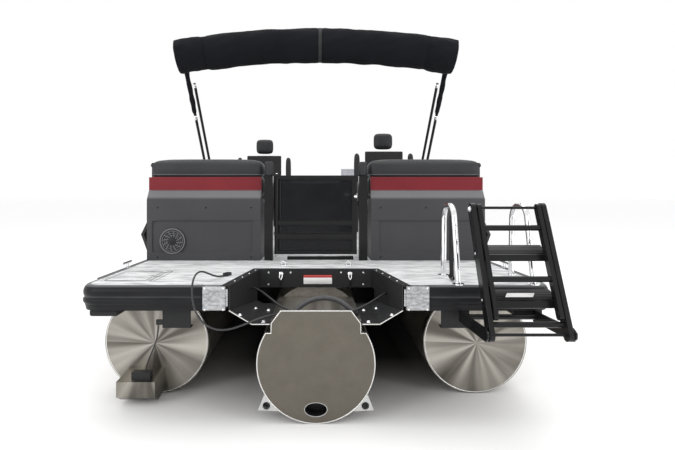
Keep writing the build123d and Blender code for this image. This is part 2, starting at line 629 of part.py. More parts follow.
def build_fences():
    """Three fence walls, and the side and bow gates in their gaps."""
    x = FENCE_PATH_X
    aft, fore = station(FENCE_AFT), station(FENCE_FORE)
    near, far = station(SIDE_GATE[0]), station(SIDE_GATE[1])
    # the port side is built, with its outward side on the left of a forward path
    whole = fence((-x, aft), (-x, fore), (-BOW_GATE_HALF, fore))
    save("starboard_fence", mirror(whole, about=Plane.YZ))
    save("port_fence_aft", fence((-x, aft), (-x, near)))
    save("port_fence_forward", fence((-x, far), (-x, fore), (-BOW_GATE_HALF, fore)))

    height = FENCE_HEIGHT - LEAF_LIFT - GATE_GAP
    rails = [*LEAF_RAILS, (height - LEAF_THICKNESS, height)]
    width = far - near - 2 * GATE_GAP
    leaf = gate_leaf(width, height, LEAF_THICKNESS, LEAF_THICKNESS, rails)
    leaf += slab(20, width - 20, -4, 4, 10, height - 10)
    side = Pos(-x + FENCE_WALL / 2, near + GATE_GAP, DECK_TOP + LEAF_LIFT) * (Rot(0, 0, 90) * leaf)
    save("side_gate", side)

    width = 2 * (BOW_GATE_HALF - GATE_GAP)
    leaf = gate_leaf(width, height, LEAF_THICKNESS, LEAF_THICKNESS, rails)
    leaf += slab(20, width - 20, -4, 4, 10, height - 10)
    save("bow_gate", Pos(-BOW_GATE_HALF + GATE_GAP, fore - FENCE_WALL / 2, DECK_TOP + LEAF_LIFT) * leaf)


# ---------------------------------------------------------------- bow lounges
LOUNGE_INNER_X = 560.0
LOUNGE_OUTER_X = 1180.0
LOUNGE_AFT = DECK_LENGTH - 2050
LOUNGE_FORE = DECK_LENGTH - 600
LOUNGE_BACK = 100.0        # width of the side backrest
LOUNGE_HEAD = 140.0        # depth of the aft backrest
LOUNGE_BACK_TOP = DECK_TOP + 684


def lounge_base():
    """Port lounge: open-topped locker with supports for its side and aft backrests."""
    aft, fore = station(LOUNGE_AFT), station(LOUNGE_FORE)
    box = slab(-LOUNGE_OUTER_X, -LOUNGE_INNER_X, aft, fore, DECK_TOP, BASE_TOP_Z)
    top = BASE_TOP_Z + SEAT_CUSHION
    side = slab(-LOUNGE_OUTER_X, -LOUNGE_OUTER_X + LOUNGE_BACK, aft, fore, BASE_TOP_Z, top)
    head = slab(-LOUNGE_OUTER_X, -LOUNGE_INNER_X, aft, aft + LOUNGE_HEAD, BASE_TOP_Z, top)
    inside = slab(-LOUNGE_OUTER_X + LOUNGE_BACK, -LOUNGE_INNER_X - BASE_WALL, aft + LOUNGE_HEAD,
                  fore - BASE_WALL, DECK_TOP + BASE_WALL, BASE_TOP_Z + 1)
    return box + side + head - inside


def lounge_cushion():
    """Lifting cushion of the port lounge."""
    aft = station(LOUNGE_AFT) + LOUNGE_HEAD + SEAT_GAP
    return soft_slab(-LOUNGE_OUTER_X + LOUNGE_BACK + SEAT_GAP, -LOUNGE_INNER_X + 12, aft,
                     station(LOUNGE_FORE) + 12, BASE_TOP_Z + 1, BASE_TOP_Z + SEAT_CUSHION, 20)


def lounge_backs():
    """Side backrest and aft backrest pads of the port lounge, joined at their corner."""
    aft, fore = station(LOUNGE_AFT), station(LOUNGE_FORE)
    bottom = BASE_TOP_Z + SEAT_CUSHION + 1
    side = soft_slab(-LOUNGE_OUTER_X, -LOUNGE_OUTER_X + LOUNGE_BACK - 4, aft, fore, bottom, LOUNGE_BACK_TOP, 25)
    head = soft_slab(-LOUNGE_OUTER_X, -LOUNGE_INNER_X, aft, aft + LOUNGE_HEAD - 5, bottom, LOUNGE_BACK_TOP, 25)
    return side + head


def build_lounges():
    """Both bow lounges."""
    save("bow_lounge_bases", *mirrored(lounge_base()))
    save("bow_lounge_backs", *mirrored(lounge_backs()))
    save("port_lounge_cushion", lounge_cushion())
    save("starboard_lounge_cushion", mirror(lounge_cushion(), about=Plane.YZ))


# ---------------------------------------------------------------- helm
CONSOLE_X = (330.0, 1150.0)
CONSOLE_AFT = 3750.0
CONSOLE_FORE = 4450.0
DASH_LOW_Z = DECK_TOP + 404
DASH_HIGH_Z = DECK_TOP + 614
CONSOLE_TOP_Z = DECK_TOP + 674
SCREEN_TOP_Z = DECK_TOP + 844
WHEEL_X = 740.0
WHEEL_RIM_R = 180.0
WHEEL_TUBE_R = 13.0
WHEEL_STANDOFF = 95.0
DASH_RUN = 150.0
CONSOLE_TOE = 60.0         # the console's foot is set in this far
CONSOLE_CHAMFER = 120.0
SCREEN_SET = 200.0         # screen behind the console's front
SCREEN_FRAME = 18.0
THROTTLE_X = 300.0         # outboard of the wheel, on the dash


def console():
    """Helm console with a sloping dash."""
    aft, fore = station(CONSOLE_AFT), station(CONSOLE_FORE)
    body = side_profile(
        [(aft + CONSOLE_TOE, DECK_TOP), (aft + CONSOLE_TOE, DASH_LOW_Z - CONSOLE_TOE), (aft, DASH_LOW_Z),
         (aft + DASH_RUN, DASH_HIGH_Z), (aft + DASH_RUN + CONSOLE_TOE, CONSOLE_TOP_Z),
         (fore - CONSOLE_CHAMFER, CONSOLE_TOP_Z), (fore, CONSOLE_TOP_Z - CONSOLE_CHAMFER), (fore, DECK_TOP)],
        *CONSOLE_X,
    )
    uprights = body.edges().filter_by(Axis.Z)
    return fillet(uprights, 30)


def windscreen():
    """Low raked screen in a dark frame across the console top."""
    y = station(CONSOLE_FORE) - SCREEN_SET
    x0, x1 = CONSOLE_X[0] + 20, CONSOLE_X[1] - 20
    z0, z1 = CONSOLE_TOP_Z, SCREEN_TOP_Z
    frame = slab(x0, x1, y - 8, y + 8, z0, z1) - slab(x0 + SCREEN_FRAME, x1 - SCREEN_FRAME, y - 10, y + 10,
                                                          z0 + SCREEN_FRAME, z1 - SCREEN_FRAME)
    return frame + slab(x0 + 10, x1 - 10, y - 2.5, y + 2.5, z0 + 10, z1 - 10)


def dash_frame():
    """Plane on the dash slope: local z points at the driver, origin at the wheel's hub foot."""
    rise = DASH_HIGH_Z - DASH_LOW_Z
    slope = math.atan2(DASH_RUN, rise)
    normal = Vector(0, -math.cos(slope), math.sin(slope))
    middle = (WHEEL_X, station(CONSOLE_AFT) + DASH_RUN / 2, (DASH_LOW_Z + DASH_HIGH_Z) / 2)
    return Plane(origin=middle, x_dir=(1, 0, 0), z_dir=normal)


def steering_wheel():
    """Rim, hub and three spokes on a short column that turns in the dash."""
    rim = Torus(WHEEL_RIM_R - WHEEL_TUBE_R, WHEEL_TUBE_R)
    hub = Pos(0, 0, -12) * Cylinder(42, 34)
    wheel = rim + hub
    for angle in (-90, 30, 150):
        spoke = Rot(0, 0, angle) * (Pos(WHEEL_RIM_R / 2, 0, -4) * Box(WHEEL_RIM_R - 40, 30, 8))
        wheel += spoke
    column = Pos(0, 0, -WHEEL_STANDOFF / 2) * Cylinder(24, WHEEL_STANDOFF - 1)
    return dash_frame() * (Pos(0, 0, WHEEL_STANDOFF) * (wheel + column))


def throttle():
    """Side-mount throttle box and lever at the console's outboard end of the dash."""
    box = Pos(THROTTLE_X, 10, 25) * Box(90, 150, 48)
    lever = Pos(THROTTLE_X, 20, 90) * Box(22, 30, 90)
    knob = Pos(THROTTLE_X, 20, 145) * Cylinder(20, 70, rotation=(0, 90, 0))
    return dash_frame() * (box + lever + knob)


def build_helm():
    """Console, screen, wheel and throttle."""
    save("helm_console", console())
    save("console_windscreen", windscreen())
    save("steering_wheel", steering_wheel())
    save("throttle_control", throttle())


# ---------------------------------------------------------------- chairs
CHAIRS = {"starboard": (740.0, 2980.0), "port": (-624.0, 3560.0)}
PEDESTAL_TOP = DECK_TOP + 294
SEAT_TOP = DECK_TOP + 449
SEAT_HALF = 250.0
BACK_HALF = 205.0
BACK_TOP = DECK_TOP + 974
HEAD_HALF = 107.0
CHAIR_TOP = DECK_TOP + 1162
ARM_OUTER = 327.0
ARM_WIDTH = 70.0
PEDESTAL_FOOT = (150.0, 12.0)   # radius and thickness
PEDESTAL_R = 45.0
ARM_LOW_Z = DECK_TOP + 614
ARM_HIGH_Z = DECK_TOP + 939


def pedestal(x, y):
    """Fixed foot and column under a chair."""
    radius, thickness = PEDESTAL_FOOT
    foot = Pos(x, y, DECK_TOP + thickness / 2) * Cylinder(radius, thickness)
    height = PEDESTAL_TOP - DECK_TOP - thickness
    column = Pos(x, y, PEDESTAL_TOP - height / 2) * Cylinder(PEDESTAL_R, height)
    return foot + column


def chair_shell():
    """Seat pan, back shell and arm pivots, about the swivel axis, facing +Y."""
    aft = -math.sqrt(CHAIR_RADIUS ** 2 - ARM_OUTER ** 2)
    swivel = Pos(0, 0, PEDESTAL_TOP + 16) * Cylinder(110, 30)
    pan = slab(-SEAT_HALF, SEAT_HALF, aft + 10, 255, PEDESTAL_TOP + 31, PEDESTAL_TOP + 56)
    back = soft_slab(-BACK_HALF, BACK_HALF, aft + 10, aft + 50, PEDESTAL_TOP + 31, BACK_TOP - 20, 12)
    arms = rod((-ARM_OUTER + ARM_WIDTH + 1, aft + 35, ARM_LOW_Z + 45),
               (ARM_OUTER - ARM_WIDTH - 1, aft + 35, ARM_LOW_Z + 45), 14)
    return swivel + pan + back + arms


def chair_cushions():
    """Seat, back, headrest and the two raised armrests."""
    aft = -math.sqrt(CHAIR_RADIUS ** 2 - ARM_OUTER ** 2)
    seat = soft_slab(-SEAT_HALF, SEAT_HALF, aft + 52, 285, PEDESTAL_TOP + 57, SEAT_TOP, 35)
    back = soft_slab(-BACK_HALF, BACK_HALF, aft + 51, aft + 160, SEAT_TOP + 2, BACK_TOP, 35)
    head = soft_slab(-HEAD_HALF, HEAD_HALF, aft + 51, aft + 140, BACK_TOP + 3, CHAIR_TOP, 30)
    arm = soft_slab(-ARM_OUTER, -ARM_OUTER + ARM_WIDTH, aft, aft + 70, ARM_LOW_Z, ARM_HIGH_Z, 25)
    return [seat, back, head, *mirrored(arm)]


def build_chairs():
    """Two swivel chairs on their pedestals."""
    feet = []
    for side, (x, distance) in CHAIRS.items():
        place = Pos(x, station(distance), 0)
        feet.append(pedestal(x, station(distance)))
        save(f"{side}_chair_shell", place * chair_shell())
        save(f"{side}_chair_cushions", *[place * pad for pad in chair_cushions()])
    save("chair_pedestals", *feet)


# ---------------------------------------------------------------- bimini
BIMINI_X = FENCE_PATH_X - FENCE_WALL / 2
BIMINI_STATION = 2840.0
BIMINI_HINGE_Z = DECK_TOP + FENCE_HEIGHT + 24
BIMINI_LEAN = 43.5         # aft of upright, as stowed
BIMINI_LEG = 1424.0
BIMINI_BEND = 200.0
BIMINI_TUBE_R = 14.0
STRUT_SPACING = 260.0
STRUT_SHORT = 200.0        # the struts stop this far below the bow's top
BOOT_HALF = 1255.0
BOOT_HALF_HEIGHT = 158.0
BOOT_HALF_DEPTH = 130.0
BOOT_CROWN = 105.0
BOOT_END_Z = BIMINI_HINGE_Z + 987
HINGE_PIN_R = 5.0


def hinge_mount(x, y):
    """Saddle on the fence rail with two cheeks and a pin for a tube's foot."""
    saddle = slab(x - 26, x + 26, y - 28, y + 28, DECK_TOP + FENCE_HEIGHT - 16, DECK_TOP + FENCE_HEIGHT + 6)
    rail_z = DECK_TOP + FENCE_HEIGHT - FENCE_RAIL_R
    saddle = saddle - rod((x, y - 40, rail_z), (x, y + 40, rail_z), FENCE_RAIL_R + 0.2)
    for side in (-1, 1):
        cheek = x + side * (BIMINI_TUBE_R + 5)
        saddle += slab(cheek - 2.5, cheek + 2.5, y - 16, y + 16, DECK_TOP + FENCE_HEIGHT, BIMINI_HINGE_Z + 14)
    pin = rod((x - BIMINI_TUBE_R - 8, y, BIMINI_HINGE_Z), (x + BIMINI_TUBE_R + 8, y, BIMINI_HINGE_Z), HINGE_PIN_R)
    return saddle + pin


def along_leg(distance, forward=0.0):
    """(Y, Z) of a point up a leg hinged this far forward of the main hinge."""
    lean = math.radians(BIMINI_LEAN)
    y = station(BIMINI_STATION + forward) - distance * math.sin(lean)
    return y, BIMINI_HINGE_Z + distance * math.cos(lean)


def pin_hole(y):
    """Bore through both legs for a hinge pin."""
    return rod((-BIMINI_X - 40, y, BIMINI_HINGE_Z), (BIMINI_X + 40, y, BIMINI_HINGE_Z), HINGE_PIN_R + 0.4)


def build_bimini():
    """Stowed top: main bow, boot, struts and their hinges."""
    y0, z0 = along_leg(-9)
    y1, z1 = along_leg(BIMINI_LEG)
    path = [(-BIMINI_X, y0, z0), (-BIMINI_X, y1, z1), (BIMINI_X, y1, z1), (BIMINI_X, y0, z0)]
    bow = bent_tube(path, BIMINI_BEND, BIMINI_TUBE_R)
    save("bimini_main_bow", bow - pin_hole(station(BIMINI_STATION)))

    middle = BOOT_END_Z + BOOT_CROWN
    arch = ThreePointArc((-BOOT_HALF, y1 + 20, BOOT_END_Z), (0, y1 + 20, middle), (BOOT_HALF, y1 + 20, BOOT_END_Z))
    section = Plane(origin=arch @ 0, x_dir=(0, 1, 0), z_dir=arch % 0) * Ellipse(BOOT_HALF_DEPTH, BOOT_HALF_HEIGHT)
    save("bimini_boot", sweep(section, path=arch) - bow)

    struts = []
    for side in (-1, 1):
        low = along_leg(-9, STRUT_SPACING)
        high = along_leg(BIMINI_LEG - STRUT_SHORT - 60, STRUT_SPACING)
        strut = rod((side * BIMINI_X, *low), (side * BIMINI_X, *high), BIMINI_TUBE_R)
        struts.append(strut - pin_hole(station(BIMINI_STATION + STRUT_SPACING)))
    save("bimini_struts", *struts)

    mounts = []
    for forward in (0, STRUT_SPACING):
        mounts.extend(mirrored(hinge_mount(-BIMINI_X, station(BIMINI_STATION + forward))))
    save("bimini_mounts", *mounts)


# ---------------------------------------------------------------- boarding ladder and handrails
LADDER_X = 953.0
LADDER_LEAN = 25.0
LADDER_LENGTH = 612.0      # between its two pivots
LADDER_PIVOT_Z = DECK_TOP - 151
MAIN_HALF = 185.0          # outside of the main section's uprights
MAIN_WIDTH = 22.0
MAIN_DEPTH = 60.0
FOLD_HALF = 156.0
FOLD_WIDTH = 20.0
FOLD_DEPTH = 38.0
FOLD_OFFSET = 16.0         # the folding section lies this far aft of the main one
LADDER_PIN_R = 7.0
ARM_PLATE = 8.0
TREAD_HEIGHTS = (150.0, 375.0)
RUNG_HEIGHTS = (250.0, 505.0)
LADDER_AFT = MAIN_DEPTH / 2 + 12
LADDER_PIVOT = (station(-LADDER_REACH + LADDER_AFT), LADDER_PIVOT_Z)
HOOP_X = (753.0, 1153.0)
HOOP_R = 16.0
HOOP_TOP = DECK_TOP + 415.0


def upright(x0, x1, y, half_depth, z0, z1):
    """Flat bar with rounded ends, pierced for its pins at both ends."""
    bar = slab(x0, x1, y - half_depth, y + half_depth, z0, z1)
    for z in (z0, z1):
        bar += rod((x0, y, z), (x1, y, z), half_depth)
    return bar


def across(y, z, radius, half):
    """A rung between the ladder's uprights."""
    return rod((-half, y, z), (half, y, z), radius)


def tread(height):
    """Folded step: a sloping plate with a lip on its outer edge."""
    outline = [(12, height - 28), (17, height - 28), (17, height), (76, height + 70), (72, height + 74),
               (12, height + 3)]
    return side_profile(outline, -MAIN_HALF + MAIN_WIDTH - 1, MAIN_HALF - MAIN_WIDTH + 1)


def ladder_main():
    """Main section with two treads, about its lower pivot."""
    whole = across(0, 45, 13, MAIN_HALF - 5)
    for side in (-1, 1):
        x0, x1 = sorted((side * (MAIN_HALF - MAIN_WIDTH), side * MAIN_HALF))
        whole += upright(x0, x1, 0, MAIN_DEPTH / 2, 0, LADDER_LENGTH)
    for height in TREAD_HEIGHTS:
        whole += tread(height)
    whole = whole - across(0, 0, LADDER_PIN_R + 0.4, 400)
    return whole - across(-FOLD_OFFSET, LADDER_LENGTH, LADDER_PIN_R + 0.4, 400)


def ladder_fold():
    """Folding section with two rungs, stowed behind the main one."""
    whole = across(-FOLD_OFFSET, LADDER_LENGTH, LADDER_PIN_R, MAIN_HALF)
    for side in (-1, 1):
        x0, x1 = sorted((side * (FOLD_HALF - FOLD_WIDTH), side * FOLD_HALF))
        whole += upright(x0, x1, -FOLD_OFFSET, FOLD_DEPTH / 2, 80, LADDER_LENGTH)
    for height in RUNG_HEIGHTS:
        whole += across(-FOLD_OFFSET, height, 14, FOLD_HALF - 5)
    return whole


def ladder_arm(x):
    """Plate that carries the ladder's lower pivot out from under the stern bumper."""
    py, pz = LADDER_PIVOT
    outline = [(station(EDGE_WIDTH - 1), BUMPER_BOTTOM), (station(EDGE_WIDTH - 1), BUMPER_BOTTOM - 60),
               (py - 5, pz - 30), (py - 30, pz - 10), (py - 30, pz + 14), (py, pz + 30),
               (station(-50), BUMPER_BOTTOM)]
    return side_profile(outline, x, x + ARM_PLATE)


def hoop(x):
    """Handrail hoop on two round feet."""
    y_aft, y_fore = station(50), station(350)
    points = [(x, y_aft, DECK_TOP + 5), (x, y_aft + 90, HOOP_TOP), (x, y_fore - 20, HOOP_TOP),
              (x, y_fore, DECK_TOP + 5)]
    whole = bent_tube(points, 85, HOOP_R)
    for y in (y_aft, y_fore):
        whole += Pos(x, y, DECK_TOP + 3) * Cylinder(31, 6)
    return whole


def build_ladder():
    """Ladder sections, their mount, and the handrail hoops."""
    place = Pos(LADDER_X, *LADDER_PIVOT) * Rot(-LADDER_LEAN, 0, 0)
    save("ladder_main_section", place * ladder_main())
    save("ladder_folding_section", place * ladder_fold())
    inner = MAIN_HALF + MOVE_GAP
    mount = ladder_arm(LADDER_X + inner) + ladder_arm(LADDER_X - inner - ARM_PLATE)
    py, pz = LADDER_PIVOT
    mount += rod((LADDER_X - inner - ARM_PLATE, py, pz), (LADDER_X + inner + ARM_PLATE, py, pz), LADDER_PIN_R)
    mount += rod((LADDER_X - inner - 2, station(5), 556), (LADDER_X + inner + 2, station(5), 556), 14)
    save("ladder_mount", mount)
    save("ladder_handrails", *[hoop(x) for x in HOOP_X])


# ---------------------------------------------------------------- transducer
# Heights that go with the cords are those of a deck at ROUTE_DECK, and rise with the deck.
ROUTE_DECK = 716.0
ROUTE_LIFT = DECK_TOP - ROUTE_DECK
BRACKET_X = (-1116.0, -900.0)
TRANSDUCER = (-1040.0, -935.0, 215.0, 262.0)   # X range, stations
TRANSDUCER_Z = (130.0, 190.0)
BRACKET_OUTLINE = ((190.0, 60.0), (190.0, 145.0), (400.0, 165.0), (400.0, 40.0), (250.0, 24.0))   # station, Z


def build_transducer():
    """Box bracket on the port tube's aft cap, with the transducer on its top."""
    outline = [(station(distance), z + ROUTE_LIFT) for distance, z in BRACKET_OUTLINE]
    box = side_profile(outline, *BRACKET_X) - side_pontoon(-SIDE_TUBE_X)
    x0, x1, near, far = TRANSDUCER
    bottom, top = (z + ROUTE_LIFT for z in TRANSDUCER_Z)
    sensor = slab(x0, x1, station(near), station(far), bottom, top) - box
    save("transducer_bracket", box)
    save("transducer", sensor)


# ---------------------------------------------------------------- hoses and cables
# Each route is a list of points chosen along the real run: X, station, Z.
HOSE_D = 28.0
HOSE_ROUTE = [
    (-128, 96, 552), (-80, 117, 594), (-8, 148, 622), (72, 158, 625), (146, 143, 605), (204, 117, 556),
]
CONTROL_D = 12.0
CONTROL_ROUTE = [
    (-384, 380, 640), (-332, 334, 634), (-268, 244, 610), (-198, 138, 582), (-112, 56, 566), (-10, 34, 558),
    (94, 35, 560), (188, 56, 572), (272, 112, 592), (342, 188, 614), (396, 250, 630),
]
HARNESS_D = 10.0
HARNESS_ROUTE = [
    (-196, 60, 556), (-256, 46, 553), (-324, 6, 536), (-396, -32, 514), (-462, -44, 499), (-528, -46, 505),
    (-588, -44, 546), (-622, -42, 606), (-634, -40, 672), (-636, -28, 736), (-632, 24, 776),
    (-616, 84, 782), (-594, 142, 762), (-570, 196, 738), (-548, 252, 724), (-530, 312, 721),
]
SENSOR_D = 8.0
SENSOR_ROUTE = [
    (-840, 66, 500), (-843, 71, 462), (-856, 92, 412), (-946, 210, 252), (-959, 228, 220), (-962, 232, 190),
]
CORD_ARC = 0.45            # arc radius as a share of the shorter run over tan(half the turn)


def cord_tube(label, route, diameter):
    """Plain tube: straight runs joined by the largest tangent arcs that fit."""
    points = [Vector(x, station(y), z + ROUTE_LIFT) for x, y, z in route]
    runs = [b - a for a, b in zip(points, points[1:])]
    radii = []
    for before, after in zip(runs, runs[1:]):
        turn = math.radians(before.get_angle(after))
        radii.append(CORD_ARC * min(before.length, after.length) / math.tan(turn / 2))
    path = FilletPolyline(*points, radius=radii)
    section = Plane(origin=path @ 0, z_dir=path % 0) * Circle(diameter / 2)
    tube = sweep(section, path=path)
    ratio = tube.volume / (math.pi * diameter ** 2 / 4 * path.length)
    longest = max(run.length for run in runs)
    print(label, "length", round(path.length), "least radius", round(min(radii)), "longest run", round(longest),
          "volume ratio", round(ratio, 4))
    return tube


def stub(route, index, diameter, length):
    """Gland collar that ends flush with a cord's first or last point."""
    step = 1 if index == 0 else -1
    a, b = (Vector(x, station(y), z + ROUTE_LIFT) for x, y, z in (route[index], route[index + step]))
    back = (a - b).normalized()
    return rod(tuple(a + back * length), tuple(a), diameter / 2)


def build_cords():
    """Collars, hose, cables and the harness plug."""
    pod = slab(-POD_HALF_WIDTH, POD_HALF_WIDTH, station(0), station(POD_LENGTH), TUBE_R, POD_TOP)
    hose_ends = [stub(HOSE_ROUTE, index, HOSE_D + 10, 24) - pod for index in (0, -1)]
    inside = well_cut(-0.5 - WELL_WALL, 0, 2000)
    cable_ends = [stub(CONTROL_ROUTE, index, CONTROL_D + 10, 40) & inside for index in (0, -1)]
    x, y, z = HARNESS_ROUTE[0]
    harness_end = slab(x, x + 34, station(y) - 12, station(y) + 12, POD_TOP, z + ROUTE_LIFT + 12)
    x, y, z = SENSOR_ROUTE[0]
    clip = Pos(0, 0, ROUTE_LIFT) * slab(x - 10, -816, station(y) - 8, station(y) + 8, z, z + 26)
    save("cable_glands", *hose_ends, *cable_ends, harness_end, clip)
    save("rigging_hose", cord_tube("rigging hose", HOSE_ROUTE, HOSE_D))
    save("control_cable", cord_tube("control cable", CONTROL_ROUTE, CONTROL_D))
    save("harness_cable", cord_tube("harness cable", HARNESS_ROUTE, HARNESS_D))
    x, y, z = HARNESS_ROUTE[-1]
    plug = Pos(x, station(y), DECK_TOP + 9) * Rot(0, 0, -17) * Pos(0, 27, 0) * Box(30, 54, 18)
    save("harness_connector", plug)
    save("transducer_cable", cord_tube("transducer cable", SENSOR_ROUTE, SENSOR_D))


build_pontoons()
build_frame()
build_deck()
build_stern()
build_fences()
build_lounges()
build_helm()
build_chairs()
build_bimini()
build_ladder()
build_transducer()
build_cords()
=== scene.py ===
# %% [markdown]
# # Pontoon boat
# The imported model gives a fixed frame: every rigid piece is already there at its real
# size and place.  This file gives each piece its finish, replaces the soft pieces with
# shaped ones, and adds the small fittings.  All lengths are metres.
# %% Load the frame
import bpy
import bmesh
import json
import math
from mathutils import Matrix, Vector, noise


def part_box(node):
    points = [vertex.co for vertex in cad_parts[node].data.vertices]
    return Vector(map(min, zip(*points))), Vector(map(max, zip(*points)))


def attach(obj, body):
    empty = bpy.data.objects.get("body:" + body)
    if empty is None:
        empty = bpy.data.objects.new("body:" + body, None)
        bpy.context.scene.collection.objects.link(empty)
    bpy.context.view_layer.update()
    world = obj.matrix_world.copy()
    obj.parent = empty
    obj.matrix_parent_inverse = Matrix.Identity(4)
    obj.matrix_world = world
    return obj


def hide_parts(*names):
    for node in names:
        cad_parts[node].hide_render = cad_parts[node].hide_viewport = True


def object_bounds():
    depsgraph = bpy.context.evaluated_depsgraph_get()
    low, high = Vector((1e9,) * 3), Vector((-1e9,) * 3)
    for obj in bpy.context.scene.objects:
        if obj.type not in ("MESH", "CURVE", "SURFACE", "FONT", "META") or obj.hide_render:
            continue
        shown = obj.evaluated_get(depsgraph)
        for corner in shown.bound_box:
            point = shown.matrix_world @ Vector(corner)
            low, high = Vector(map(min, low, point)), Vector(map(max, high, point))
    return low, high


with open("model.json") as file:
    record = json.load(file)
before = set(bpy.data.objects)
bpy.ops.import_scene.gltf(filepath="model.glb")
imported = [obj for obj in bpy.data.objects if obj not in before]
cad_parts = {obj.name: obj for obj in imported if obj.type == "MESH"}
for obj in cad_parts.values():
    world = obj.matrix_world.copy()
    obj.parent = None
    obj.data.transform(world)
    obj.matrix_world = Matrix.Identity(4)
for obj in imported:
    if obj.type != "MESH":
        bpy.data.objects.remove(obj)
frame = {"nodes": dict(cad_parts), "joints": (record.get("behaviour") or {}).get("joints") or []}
cad_low, cad_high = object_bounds()
nodes = frame["nodes"]
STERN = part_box("transom_plate")[0].y
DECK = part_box("deck_flooring")[1].z
print("boat spans", [round(v, 3) for v in cad_high - cad_low])


def at(x, distance, z):
    """A point from millimetres across, forward of the stern, and above the ground."""
    return Vector((x / 1000, STERN + distance / 1000, z / 1000))


# %% [markdown]
# ## Studio
# The boat stands on a pale floor under broad soft lights.  The camera stands behind the
# stern a little higher than the deck, level, with a wide lens; lens shift frames the
# boat so that upright lines stay upright.
# %% Camera
CAMERA_BEHIND = 2.532
CAMERA_HEIGHT = 1.185
camera_data = bpy.data.cameras.new("camera")
camera = bpy.data.objects.new("camera", camera_data)
bpy.context.scene.collection.objects.link(camera)
camera.location = (0.0, STERN - CAMERA_BEHIND, CAMERA_HEIGHT)
camera.rotation_euler = (math.radians(90), 0, 0)
camera_data.lens = 26.0
camera_data.sensor_width = 36.0
camera_data.shift_x = 0.032
camera_data.shift_y = -0.043
camera_data.clip_start = 0.05
bpy.context.scene.camera = camera
print("camera", round(CAMERA_BEHIND, 2), "m behind the stern")


# %% [markdown]
# ## Shader maths
# A finish is easier to read as arithmetic than as a drawing of nodes.  `Wire` wraps one
# socket: adding, multiplying or comparing wires adds the Math node that does it.  Every
# other node comes from `node`, which sets the node's choices first and its sockets after.
# %% Wire and Finish
class Wire:
    """One socket of a node tree that takes part in ordinary arithmetic."""

    def __init__(self, tree, socket):
        self.tree = tree
        self.socket = socket

    def node(self, kind, settings, sockets, out=0):
        made = self.tree.nodes.new(kind)
        for name, value in settings.items():
            setattr(made, name, value)
        for name, value in sockets.items():
            if isinstance(value, Wire):
                self.tree.links.new(value.socket, made.inputs[name])
            else:
                made.inputs[name].default_value = value
        return Wire(self.tree, made.outputs[out])

    def math(self, operation, first, second=0.0):
        return self.node("ShaderNodeMath", {"operation": operation}, {0: first, 1: second})

    def __add__(self, other):
        return self.math("ADD", self, other)

    __radd__ = __add__

    def __sub__(self, other):
        return self.math("SUBTRACT", self, other)

    def __rsub__(self, other):
        return self.math("SUBTRACT", other, self)

    def __mul__(self, other):
        return self.math("MULTIPLY", self, other)

    __rmul__ = __mul__

    def __pow__(self, other):
        return self.math("POWER", self, other)

    def __gt__(self, other):
        return self.math("GREATER_THAN", self, other)

    def __lt__(self, other):
        return self.math("LESS_THAN", self, other)

    def absolute(self):
        return self.math("ABSOLUTE", self)

    def clamped(self):
        return self.node("ShaderNodeClamp", {}, {"Value": self})

    def part(self, axis):
        return self.node("ShaderNodeSeparateXYZ", {}, {"Vector": self}, out=axis)

    def scaled(self, x, y, z):
        return self.node("ShaderNodeVectorMath", {"operation": "MULTIPLY"}, {0: self, 1: (x, y, z)})

    def grain(self, size, detail=3.0, rough=0.55):
        """Noise whose spots are about this many metres across."""
        sockets = {"Vector": self, "Scale": 1.0 / size, "Detail": detail, "Roughness": rough}
        return self.node("ShaderNodeTexNoise", {}, sockets)

    def blend(self, low, high):
        """Colour from low to high as this wire goes from 0 to 1."""
        return self.node("ShaderNodeMix", {"data_type": "RGBA"}, {0: self, 6: low, 7: high}, out=2)


class Finish:
    """A material with one surface shader, and the place of each point as a wire."""

    def __init__(self, name, **fixed):
        self.material = bpy.data.materials.new(name)
        self.material.use_nodes = True
        self.tree = self.material.node_tree
        self.tree.nodes.clear()
        output = self.tree.nodes.new("ShaderNodeOutputMaterial")
        self.shader = self.tree.nodes.new("ShaderNodeBsdfPrincipled")
        self.tree.links.new(self.shader.outputs[0], output.inputs[0])
        for socket, value in fixed.items():
            self.shader.inputs[socket.replace("_", " ")].default_value = value
        source = self.tree.nodes.new("ShaderNodeTexCoord")
        self.place = Wire(self.tree, source.outputs["Object"])

    def feed(self, socket, wire):
        self.tree.links.new(wire.socket, self.shader.inputs[socket])

    def bump(self, height, distance):
        """Relief of this many metres from a 0 to 1 height."""
        sockets = {"Height": height, "Distance": distance, "Strength": 1.0}
        self.feed("Normal", height.node("ShaderNodeBump", {}, sockets))


def rgb(red, green, blue):
    return (red, green, blue, 1.0)


# %% [markdown]
# ## Floor and light
# A studio floor is nearly white and a little rough, with a painted shadow under the boat.  Three area lights
# make the soft gradients that show what is polished and what is brushed.
# %% Floor and lights
def flat_floor(size, z):
    mesh = bpy.data.meshes.new("studio_floor")
    mesh.from_pydata([(-size, -size, z), (size, -size, z), (size, size, z), (-size, size, z)], [],
                     [(0, 1, 2, 3)])
    floor = bpy.data.objects.new("studio_floor", mesh)
    bpy.context.scene.collection.objects.link(floor)
    return floor


floor = flat_floor(150.0, -0.001)
floor_finish = Finish("studio_floor", Roughness=0.75)
# Painted shadow: the floor colour is darkened in a band under the boat, from the stern to short of the bow.
shadow_across = (1.0 - (floor_finish.place.part(0) - 0.1).absolute() * 0.85).clamped()
aft_fade = ((floor_finish.place.part(1) - (STERN - 0.05)) * 0.9).clamped()
bow_fade = ((cad_high.y - 0.6 - floor_finish.place.part(1)) * 0.9).clamped()
shadow_along = aft_fade * bow_fade
shade = 1.0 - 0.93 * (shadow_across * 1.8).clamped() * shadow_along
paper = floor_finish.place.grain(2.0) * 0.02 + 0.965
floor_tone_and_shadow = shade * paper
floor_finish.feed("Base Color", floor_tone_and_shadow.blend(rgb(0.0, 0.0, 0.0), rgb(1.0, 1.0, 1.0)))
floor.data.materials.append(floor_finish.material)

